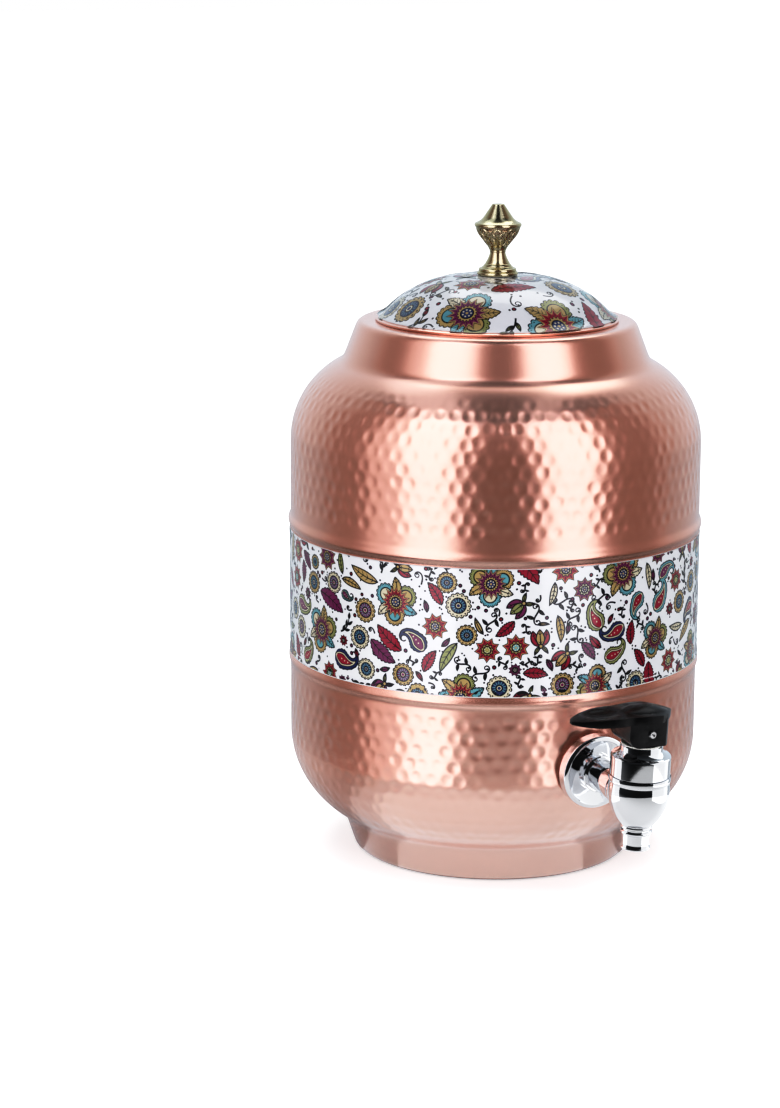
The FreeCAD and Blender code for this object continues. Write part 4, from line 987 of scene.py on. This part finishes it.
def claims(kind, size, turn):
    """The circles that motifs claim: turn is an array, a circle is (across, up, radius)."""
    long_kinds = {"leaf": (0.60, 0.42), "drop": (0.44, 0.64), "sprig": (0.55, 0.48),
                  "tulip": (0.40, 0.72), "S scroll": (0.52, 0.42)}
    if kind not in long_kinds:
        circle = [0.0, 0.0, size * (0.98 if kind == "bloom" else 1.0)]
        return np.tile(circle, (len(turn), 1, 1))
    reach, radius = long_kinds[kind]
    step = np.array([-1, 0, 1]) * size * reach
    across, up = np.cos(turn)[:, None] * step, np.sin(turn)[:, None] * step
    return np.stack([across, up, np.full(across.shape, size * radius)], 2)


def draw_motif(sheet, dice, kind, centre, size, turn):
    """Draws a motif about its centre, in colours that the dice picks."""
    ahead = unit(turn)
    warm = dice.choice(["crimson", "crimson", "plum"])
    other = "plum" if warm == "crimson" else "crimson"
    cool = dice.choice(["teal", "teal", "navy", "olive"])
    pale = dice.choice(["gold", "cream", "gold", "olive"])
    hand = dice.choice([-1, 1])
    if kind == "bloom":
        bloom(sheet, centre, size, turn, warm, "teal", "navy")
    elif kind == "flower":
        flower(sheet, centre, size, turn, warm, pale, cool, 9)
    elif kind == "medallion":
        medallion(sheet, centre, size, turn, dice.choice(["gold", "cream", "gold"]),
                  dice.choice(["navy", "plum", "navy"]))
    elif kind == "leaf":
        red = dice.uniform() < 0.5
        leaf(sheet, centre - ahead * size, size * 2, turn - hand * 0.25,
             warm if red else pale, hand * 0.5, 0.20 if red else 0.16, 9 if red else 0)
    elif kind == "drop":
        drop(sheet, centre - ahead * size * 0.9, size, turn, cool, warm, hand)
    elif kind == "sprig":
        sprig(sheet, centre - ahead * size, size, turn - hand * 0.5, pale, hand)
    elif kind == "tulip":
        tulip(sheet, centre - ahead * size * 0.3, size * 0.9, turn, warm, pale)
    elif kind == "scroll":
        scroll(sheet, centre, size * 4.6, turn, hand * 9.0, False)
    elif kind == "S scroll":
        scroll(sheet, centre, size * 4.4, turn + hand * 0.9, hand * 6.6, True)
    elif kind == "ring":
        edged(sheet, centre, size, other, 0)
    else:
        round_shape(sheet, centre, size, "black", 0)


def room_round(spots, taken, wrap):
    """The least gap between each throw's circles and the circles that are taken."""
    across = np.abs(spots[:, :, None, 0] - taken[:, 0])
    across = np.minimum(across, wrap - across)
    room = np.hypot(across, spots[:, :, None, 1] - taken[:, 1])
    room = room - spots[:, :, None, 2] - taken[:, 2]
    return room.reshape(len(spots), -1).min(axis=1, initial=wrap)


def fill(sheet, dice, kinds, pick_places, wrap, gap):
    """Fits motifs on a sheet. Large ones keep apart, the others nestle in what is left."""
    taken = np.zeros((0, 3))
    made = {}
    for kind, size, most in kinds:
        misses = 0
        placed = 0
        while placed < most and misses < patience:
            places = pick_places(dice, throws)
            turns = dice.uniform(0, math.tau, throws)
            this = size * dice.uniform(0.9, 1.1)
            spots = claims(kind, this, turns)
            spots[:, :, :2] += places[:, None]
            room = room_round(spots, taken, wrap)
            if kind == "bloom":
                best = room.argmax()
            else:
                best = np.where(room > gap, room, np.inf).argmin()
            if room[best] <= gap:
                misses += 1
                continue
            taken = np.concatenate([taken, spots[best]])
            draw_motif(sheet, dice, kind, places[best], this, turns[best])
            placed += 1
        made[kind] = made.get(kind, 0) + placed
    return made


def ink_mesh(name, sheet, inside, to_space):
    """The mesh of a sheet. Points outside are drawn to the edge, and flat faces are left out."""
    flat = np.concatenate(sheet["points"])
    faces = np.concatenate(sheet["faces"])
    colours = np.concatenate(sheet["colours"])
    held, moved = inside(flat)
    keep = ~moved[faces].all(axis=1)
    faces, colours = faces[keep], colours[keep]
    used, numbers = np.unique(faces, return_inverse=True)
    corners = [face[:3] if face[2] == face[3] else face
               for face in numbers.reshape(faces.shape).tolist()]
    print_mesh = shape(name, to_space(held[used]) * mm, corners)
    print_mesh.data.polygons.foreach_set("material_index", colours.astype(np.int32))
    print_mesh.data.shade_smooth()
    for ink in inks.values():
        print_mesh.data.materials.append(ink)
    return print_mesh


inks = {name: moulded(name + " ink", colour, [part * 0.8 for part in colour], 0.3, 0.03, 900, 1.0)
        for name, colour in ink_colours.items()}
print("inks:", len(inks))

# %% [markdown]
# ## The band's print
# The band is a sheet as long as the barrel is round. It gets twenty large flowers, and then
# smaller and smaller motifs until hardly any gap is left that one of them would fit in.

# %% The band's print
ink_lift, ink_step = 0.03, 0.012
bare_low, bare_high = 0.35, 0.2
band_radius = film_out + ink_lift
band_round = math.tau * band_radius
band_kinds = (("bloom", 10.4, 20), ("leaf", 8.0, 22), ("drop", 6.6, 34), ("medallion", 5.2, 30),
              ("flower", 5.8, 34), ("tulip", 5.2, 26), ("leaf", 5.8, 40), ("sprig", 5.2, 26),
              ("S scroll", 4.2, 20), ("medallion", 3.6, 50), ("drop", 4.0, 60), ("leaf", 4.2, 80),
              ("flower", 3.0, 80), ("scroll", 2.6, 90), ("leaf", 2.8, 120), ("S scroll", 2.6, 60),
              ("scroll", 1.7, 260), ("ring", 0.9, 160), ("dot", 0.45, 400))
band_sheet = new_sheet(0.58)


def band_places(dice, count):
    """Places on the band."""
    return np.column_stack([dice.uniform(0, band_round, count),
                            dice.uniform(film_low - 1, film_high + 1, count)])


band_count = fill(band_sheet, np.random.RandomState(417), band_kinds, band_places, band_round,
                  0.08)


def inside_band(flat):
    """Points held between the band's edges, and which of them were moved."""
    held = flat.copy()
    held[:, 1] = np.clip(flat[:, 1], film_low + bare_low, film_high - bare_high)
    return held, held[:, 1] != flat[:, 1]


def on_band(flat):
    """From the flat sheet to the barrel."""
    flare = np.clip(1 - (flat[:, 1] - film_low) / flare_height, 0, 1) * edge_flare
    radius = band_radius + flare + flat[:, 2] * ink_step
    angle = flat[:, 0] / band_radius
    return np.stack([radius * np.cos(angle), radius * np.sin(angle), flat[:, 1]], 1)


band_ink = ink_mesh("band_ink", band_sheet, inside_band, on_band)
print("band print:", band_count, len(band_ink.data.polygons), "faces")

# %% [markdown]
# ## The lid's print
# The lid's print lies on the dome in the same way, only larger. Its sheet is the dome rolled
# flat from the knob outwards, so a motif's distance from the centre is measured along the
# dome.

# %% The lid's print
lid_step, lid_start, lid_bare = 0.02, 0.5, 9.1
lid_curve = np.array(lid_line(film_gap + film_thick + ink_lift, lid_start, print_turn - 2, 0.3))
lid_reach = lid_start + run_of(lid_curve)
lid_slope = heading_of(lid_curve)
lid_kinds = (("bloom", 16.5, 5), ("medallion", 8.5, 3), ("flower", 9.0, 2), ("drop", 9.5, 6),
             ("tulip", 7.6, 4), ("leaf", 10.0, 9), ("sprig", 8.6, 6), ("S scroll", 6.0, 12),
             ("medallion", 5.0, 4), ("leaf", 7.0, 9), ("scroll", 4.2, 20), ("scroll", 3.0, 24),
             ("ring", 1.2, 20), ("dot", 0.6, 60))
lid_sheet = new_sheet(0.6)


def lid_places(dice, count):
    """Places on the rolled-out dome."""
    reach = np.sqrt(dice.uniform(11 ** 2, 57 ** 2, count))
    angle = dice.uniform(0, math.tau, count)
    return np.stack([reach * np.cos(angle), reach * np.sin(angle)], 1)


lid_count = fill(lid_sheet, np.random.RandomState(88), lid_kinds, lid_places, 1e6, 0.4)


def inside_lid(flat):
    """Points held between the knob and the brim's edge, and which of them were moved."""
    reach = np.hypot(flat[:, 0], flat[:, 1])
    held = np.clip(reach, lid_bare, lid_reach[-1])
    share = held / np.maximum(reach, 1e-6)
    return np.column_stack([flat[:, :2] * share[:, None], flat[:, 2]]), held != reach


def on_lid(flat):
    """From the rolled-out dome to the dome."""
    reach = np.hypot(flat[:, 0], flat[:, 1])
    radius, height, run, fall = (np.interp(reach, lid_reach, values)
                                 for values in (*lid_curve.T, *lid_slope.T))
    lift = flat[:, 2] * lid_step
    radius, height = radius - fall * lift, height + run * lift
    return np.stack([radius * flat[:, 0] / reach, radius * flat[:, 1] / reach, height], 1)


lid_ink = ink_mesh("lid_ink", lid_sheet, inside_lid, on_lid)
for print_mesh, body in ((band_ink, "vessel"), (lid_ink, "lid")):
    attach(print_mesh, body)
    for_print.objects.link(print_mesh)
    for_barrel.objects.link(print_mesh)
print("lid print:", lid_count, len(lid_ink.data.polygons), "faces")

# %% [markdown]
# ## The knob
# The knob is turned from brass bar: a stepped foot with fine grooves, a bell, a narrow waist,
# a cup and a flat disc with a blunt cone on it. A ring of upright leaves is chased into the
# cup. The construction model leaves the leaves out, so the knob is turned again here with
# small faces, and the chasing is pushed into it like the hammer marks: each leaf has a
# rounded face, a groove down its middle and a groove round its edge.

# %% The knob
knob_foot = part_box("knob")[0][2] / mm


def bow_to(points, end, radius, side, step):
    """Adds an arc of a radius from the last point to an end. side 1 bends to the left."""
    start, end = np.array(points[-1]), np.array(end, float)
    chord = end - start
    length = np.linalg.norm(chord)
    depth = math.sqrt(max(radius ** 2 - length ** 2 / 4, 0))
    centre = (start + end) / 2 + np.array([-chord[1], chord[0]]) / length * depth * side
    first = math.degrees(math.atan2(*(start - centre)[::-1]))
    last = math.degrees(math.atan2(*(end - centre)[::-1]))
    while (last - first) * side < 0:
        last += 360 * side
    arc_round(points, centre, radius, first, last, step)


screw_hole, screw_depth, axis_gap = 2.7, 9.1, 0.03
knob_line = [(screw_hole, 0.0), (8.6, 0.0)]
fine = 0.14
for move in (((8.6, 1.5), 1.05, 1), (7.9, 1.5), ((7.9, 3.0), 1.05, 1), (7.2, 3.0),
             ((3.4, 9.6), 13.0, -1), ((5.1, 13.2), 6.5, -1), (7.8, 16.6), ((9.8, 20.9), 11.0, 1),
             ((9.8, 22.6), 1.02, 1), ((6.4, 25.0), 7.0, -1), (2.8, 30.3), ((2.4, 30.7), 0.6, 1),
             (axis_gap, 30.7)):
    if len(move) == 2:
        run_to(knob_line, move, fine)
    else:
        bow_to(knob_line, *move, fine)
knob_out = tidy_profile(knob_line, fine, 1)
knob_in = np.array([(screw_hole, 0.01), (screw_hole, screw_depth), (axis_gap, screw_depth)])
chased = (height_on(knob_out, 13.0), height_on(knob_out, 20.4))
petals_round, chase_depth, groove_depth, groove_half = 9, 0.42, 0.16, 0.16
knob_sides = 288


def chasing(around, up):
    """Upright leaves round the cup, and three grooves round the bell."""
    share = (up - chased[0]) / (chased[1] - chased[0])
    inside = (share > 0) & (share < 1)
    share = np.clip(share, 0, 1)
    place = around / math.tau * petals_round
    push = np.zeros_like(up)
    for offset, low, top in ((0.0, 0.0, 0.86), (0.5, 0.3, 1.0)):
        here = np.abs((place + offset) % 1 - 0.5) * 2
        climb = np.clip((share - low) / (top - low), 0, 1)
        half = 0.86 * np.sin(math.pi * np.clip(climb * 0.92 + 0.08, 0, 1)) ** 0.6
        edge = np.exp(-((here - half) / 0.10) ** 2) * (climb > 0) * (climb < 1)
        middle = np.exp(-(here / 0.07) ** 2) * (climb > 0.1) * (climb < 0.8)
        push = np.maximum(push, np.maximum(edge, 0.7 * middle))
    push = push * inside * chase_depth
    for level in (3.9, 5.0, 10.6):
        groove = (up - height_on(knob_out, level)) / groove_half
        push = push + groove_depth * np.exp(-groove ** 2)
    return push


raised = [0, knob_foot]
carved_knob = turned_skin("carved_knob", knob_out + raised, knob_in + raised, chasing, knob_sides)
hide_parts("knob")
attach(carved_knob, "lid")
dress(carved_knob, brass, for_barrel, for_copper)
print("knob faces:", len(carved_knob.data.polygons))

# %% [markdown]
# ## The lever
# A moulded lever has no sharp edge anywhere: the mould is broken by a few tenths of a
# millimetre, and that small round catches a line of light. The built solid has sharp edges,
# so the lever is copied and every edge of more than forty degrees is rounded.

# %% The lever
def copy_of(node, name):
    """A copy of a built piece with its points in the shared frame."""
    twin = linked(name, nodes[node].data.copy())
    twin.data.transform(nodes[node].matrix_world)
    return twin


lever_skin = copy_of("lever", "rounded_lever")
shaped(lever_skin, "WELD", merge_threshold=0.005 * mm)
lever_mesh = shaped(lever_skin, "BEVEL", width=0.35 * mm, segments=3, limit_method="ANGLE",
                    angle_limit=math.radians(40), harden_normals=False)
lever_mesh.shade_smooth()
lever_mesh.set_sharp_from_angle(angle=math.radians(34))
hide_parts("lever")
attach(lever_skin, "lever")
dress(lever_skin, black_plastic, for_tap)
print("lever faces:", len(lever_mesh.polygons))

# %% [markdown]
# ## The return spring
# The coil spring sits inside the bonnet and presses the plug down on its seat. When the
# stem rises, the lower end comes up with it and the upper end stays under the bonnet's
# roof, so the coil gets shorter by the stem's lift. A copy of the built coil takes the
# built one's place here, at its built length, and rides with the vessel.

# %% The return spring
coil = copy_of("return_spring", "squeezed_spring")
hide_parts("return_spring")
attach(coil, "vessel")
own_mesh(coil)
dress(coil, steel, for_barrel)

# %% [markdown]
# ## Dress the rest
# All other pieces keep their built shape and get the finish of their stock: the seals are
# silicone, the nut and the tap are chromed, and the pin and the screw are steel.

# %% Dress the pieces that keep their built shape
stock = (
    (copper, ("lid_shell",)),
    (inner_copper, ("base_plate", "lid_collar")),
    (chrome, ("tap_flange", "tap_body", "nozzle", "bonnet", "lock_nut")),
    (steel, ("knob_washer", "knob_screw", "steel_washer", "valve_stem", "plug_washer",
             "lever_pin")),
    (silicone, ("outer_seal", "inner_seal", "bonnet_seal", "stem_ring", "valve_plug")),
    (nylon, ("glide_washer",)))
for finish, pieces in stock:
    for name in pieces:
        dress(nodes[name], finish)
    print(finish.name + ":", ", ".join(pieces))
